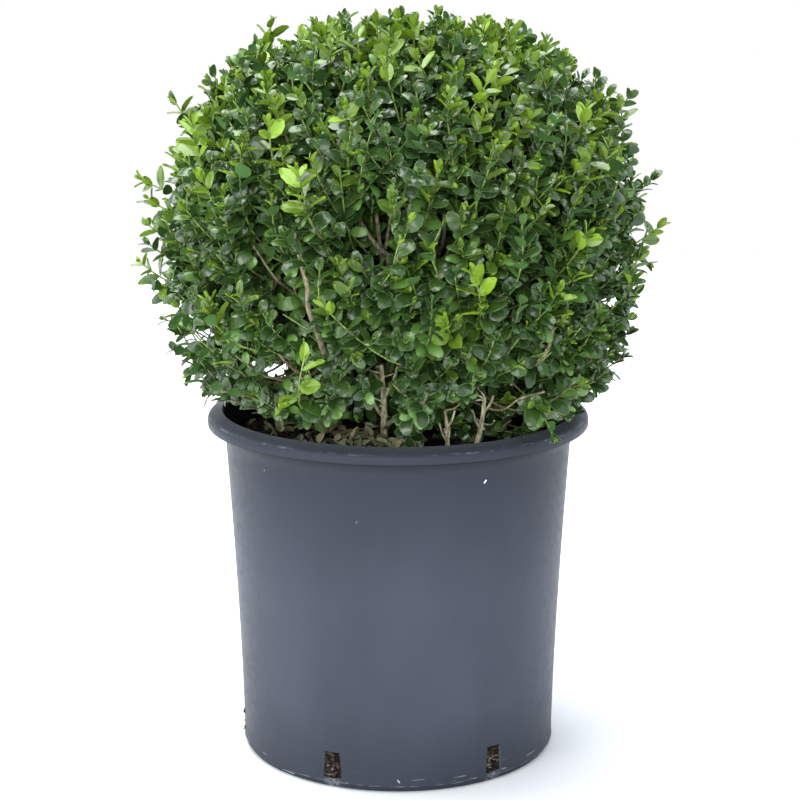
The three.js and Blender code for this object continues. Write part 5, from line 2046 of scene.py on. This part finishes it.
class OBJECT_OT_box_ball_foliage(bpy.types.Operator):
    """Grows the branches, twigs and leaves of the seven masses on from the boughs"""

    bl_idname = "object.box_ball_foliage"
    bl_label = "Twigs and leaves"

    def execute(self, context):
        settings = context.scene.box_ball_plant
        rng = np.random.default_rng(SEED + 4)
        paths, radii, branch_masses = branch_paths(rng)
        shoots = grown_shoots(settings, rng, paths.reshape(-1, 3), np.repeat(branch_masses, paths.shape[1]))
        twigs = twig_paths(*shoots[:4])
        whole = ~across_daylight(twigs) & ~across_hollows(twigs) & ~across_wood(twigs)
        shoots = [part[whole] for part in shoots]
        twigs = twigs[whole]
        roots, blades, faces, sizes, tones, masses = placed_leaves(shoots, rng)
        lengths = settings.leaf_length * sizes
        slimness = LEAF_WIDTH_LEAST + LEAF_WIDTH_SPREAD * rng.random(len(sizes))
        widths = settings.leaf_width * sizes * slimness
        clear = in_the_clear(roots, blades, lengths, rng)
        reach = np.linalg.norm(roots - CROWN_CENTRE, axis=1) / crown_radius(unit(roots - CROWN_CENTRE))
        young = np.array([tone[4] for tone in TONES])[tones]
        grown = clear & ~young
        groups = (
            ("_leaves", "foliage", leaf_shape(GROWN_FORM), grown & (reach < EDGED_FROM)),
            ("_edged_leaves", "foliage", leaf_shape(GROWN_FORM, True), grown & (reach >= EDGED_FROM)),
            ("_young_leaves", "young_foliage", leaf_shape(YOUNG_FORM), clear & young),
        )
        barks = (
            bark_material("twig_brown", TWIG_BROWN, 500.0, 0.0004),
            bark_material("twig_green", settings.green_wood, 500.0, 0.0002),
        )
        upper, undersides = leaf_finishes(settings)
        for mass, side in enumerate(MASS_SIDES):
            mine = branch_masses == mass
            owned = shoots[6] == mass
            lit = ~np.isin(shoots[5][owned], (SHADED, INNER)) | (shoots[3][owned, 2] > DRY_TWIGS_BELOW)
            foliage_twigs(side, paths[mine], radii[mine], twigs[owned], lit, barks)
            for label, slot, (points, corners, parts), members in groups:
                chosen = members & (masses == mass)
                placed = leaf_points(points, roots, blades, faces, lengths, widths, chosen)
                first = FRESH if slot == "young_foliage" else DEEP
                plain = (tones[chosen] - first)[:, None]
                face_tones = np.where(parts == 0, plain, parts + 2).ravel()
                name = "foliage_" + side + label
                piece = mesh_piece(name, *copies_of(placed, corners), face_tones)
                smooth(piece, 32)
                lower = undersides[2:] if first == FRESH else undersides[:2]
                finish_piece(piece, name, (*upper[first:first + 3], *lower), ("foliage_" + side,))
        return {"FINISHED"}


# Studio

def add_floor(settings):
    """A pale floor, a little cloudy, that fades into white further out."""
    deselect()
    bpy.ops.mesh.primitive_plane_add(size=FLOOR_SIZE)
    floor = bpy.context.object
    floor.name = "floor"
    material, tree, shader = new_material("floor", 0.6, 0.2)
    cloudy = mottle(tree, Scale=1.2)["Mask"]
    pale = mixed(tree, cloudy, colour(settings.floor), colour(settings.floor, 1.03))
    tree.links.new(pale, shader["Base Color"])
    away = add_node(tree, "ShaderNodeVectorMath", {0: place_in(tree)}, operation="LENGTH")
    far = between(tree, away.outputs["Value"], *[share * FLOOR_SIZE for share in FLOOR_FADE])
    tree.links.new(mixed(tree, far, colour((0, 0, 0)), colour((1, 1, 1))), shader["Emission Color"])
    shader["Emission Strength"].default_value = FLOOR_GLOW
    floor.data.materials.append(material)


def add_surroundings(settings):
    """Soft tinted light all round, another strength of it in reflections, and plain white for the camera."""
    world = bpy.data.worlds.new("white_room")
    world.use_nodes = True
    tree = world.node_tree
    rays = add_node(tree, "ShaderNodeLightPath").outputs
    room = tree.nodes["Background"]
    room.inputs["Color"].default_value = colour(settings.tint)
    inputs = {"Value": rays["Is Glossy Ray"], "To Min": settings.sky, "To Max": settings.sheen}
    strength = add_node(tree, "ShaderNodeMapRange", inputs).outputs["Result"]
    tree.links.new(strength, room.inputs["Strength"])
    backdrop = add_node(tree, "ShaderNodeBackground", {"Color": colour((1, 1, 1)), "Strength": 1.0})
    inputs = {0: rays["Is Camera Ray"], 1: room.outputs[0], 2: backdrop.outputs[0]}
    shown = add_node(tree, "ShaderNodeMixShader", inputs)
    tree.links.new(shown.outputs[0], tree.nodes["World Output"].inputs["Surface"])
    bpy.context.scene.world = world


def add_lamps(settings):
    """Soft lamps overhead, at the sides and in front, each turned to the plant's middle."""
    for name, place, size, share in LAMPS:
        bpy.ops.object.light_add(type="AREA", location=place)
        lamp = bpy.context.object
        lamp.name = name
        lamp.data.size = size
        lamp.data.energy = settings.key * share
        aim = Vector(LAMP_AIM) - Vector(place)
        lamp.rotation_euler = aim.to_track_quat("-Z", "Y").to_euler()


def add_camera():
    """The camera in front, at the place of the eye and tilted down."""
    bpy.ops.object.camera_add(location=tuple(EYE), rotation=(math.radians(90 - EYE_PITCH), 0, 0))
    camera = bpy.context.object
    camera.name = "front_camera"
    camera.data.sensor_width = EYE_FILM * 1000
    camera.data.lens = EYE_FOCUS * 1000
    bpy.context.scene.camera = camera


class SCENE_OT_box_ball_studio(bpy.types.Operator):
    """Sets the pale floor, the soft lights and the camera"""

    bl_idname = "scene.box_ball_studio"
    bl_label = "Studio"

    def execute(self, context):
        settings = context.scene.box_ball_studio
        context.scene.view_settings.view_transform = "Standard"
        add_floor(settings)
        add_surroundings(settings)
        add_lamps(settings)
        add_camera()
        return {"FINISHED"}


class VIEW3D_PT_box_ball(bpy.types.Panel):
    """The pieces of the box ball, in the order in which they are made"""

    bl_label = "Box ball"
    bl_idname = "VIEW3D_PT_box_ball"
    bl_space_type = "VIEW_3D"
    bl_region_type = "UI"
    bl_category = "Box Ball"

    def draw(self, context):
        layout = self.layout
        for name in ("box_ball_pot", "box_ball_plant", "box_ball_studio"):
            settings = getattr(context.scene, name)
            for key in settings.bl_rna.properties.keys():
                if key not in ("rna_type", "name"):
                    layout.prop(settings, key)
        for operator in OPERATORS:
            layout.operator(operator.bl_idname)


OPERATORS = (
    OBJECT_OT_box_ball_pot,
    OBJECT_OT_box_ball_mix,
    OBJECT_OT_box_ball_roots,
    OBJECT_OT_box_ball_wood,
    OBJECT_OT_box_ball_stems,
    OBJECT_OT_box_ball_inner_wood,
    OBJECT_OT_box_ball_foliage,
    SCENE_OT_box_ball_studio,
)
SETTINGS = (BoxBallPot, BoxBallPlant, BoxBallStudio)


def register():
    for entry in SETTINGS + OPERATORS + (VIEW3D_PT_box_ball,):
        bpy.utils.register_class(entry)
    bpy.types.Scene.box_ball_pot = PointerProperty(type=BoxBallPot)
    bpy.types.Scene.box_ball_plant = PointerProperty(type=BoxBallPlant)
    bpy.types.Scene.box_ball_studio = PointerProperty(type=BoxBallStudio)


def unregister():
    del bpy.types.Scene.box_ball_studio
    del bpy.types.Scene.box_ball_plant
    del bpy.types.Scene.box_ball_pot
    for entry in reversed(SETTINGS + OPERATORS + (VIEW3D_PT_box_ball,)):
        bpy.utils.unregister_class(entry)


def main():
    register()
    bpy.ops.object.box_ball_pot()
    bpy.ops.object.box_ball_mix()
    bpy.ops.object.box_ball_roots()
    bpy.ops.object.box_ball_wood()
    bpy.ops.object.box_ball_stems()
    bpy.ops.object.box_ball_inner_wood()
    bpy.ops.object.box_ball_foliage()
    bpy.ops.scene.box_ball_studio()


if __name__ == "__main__":
    main()
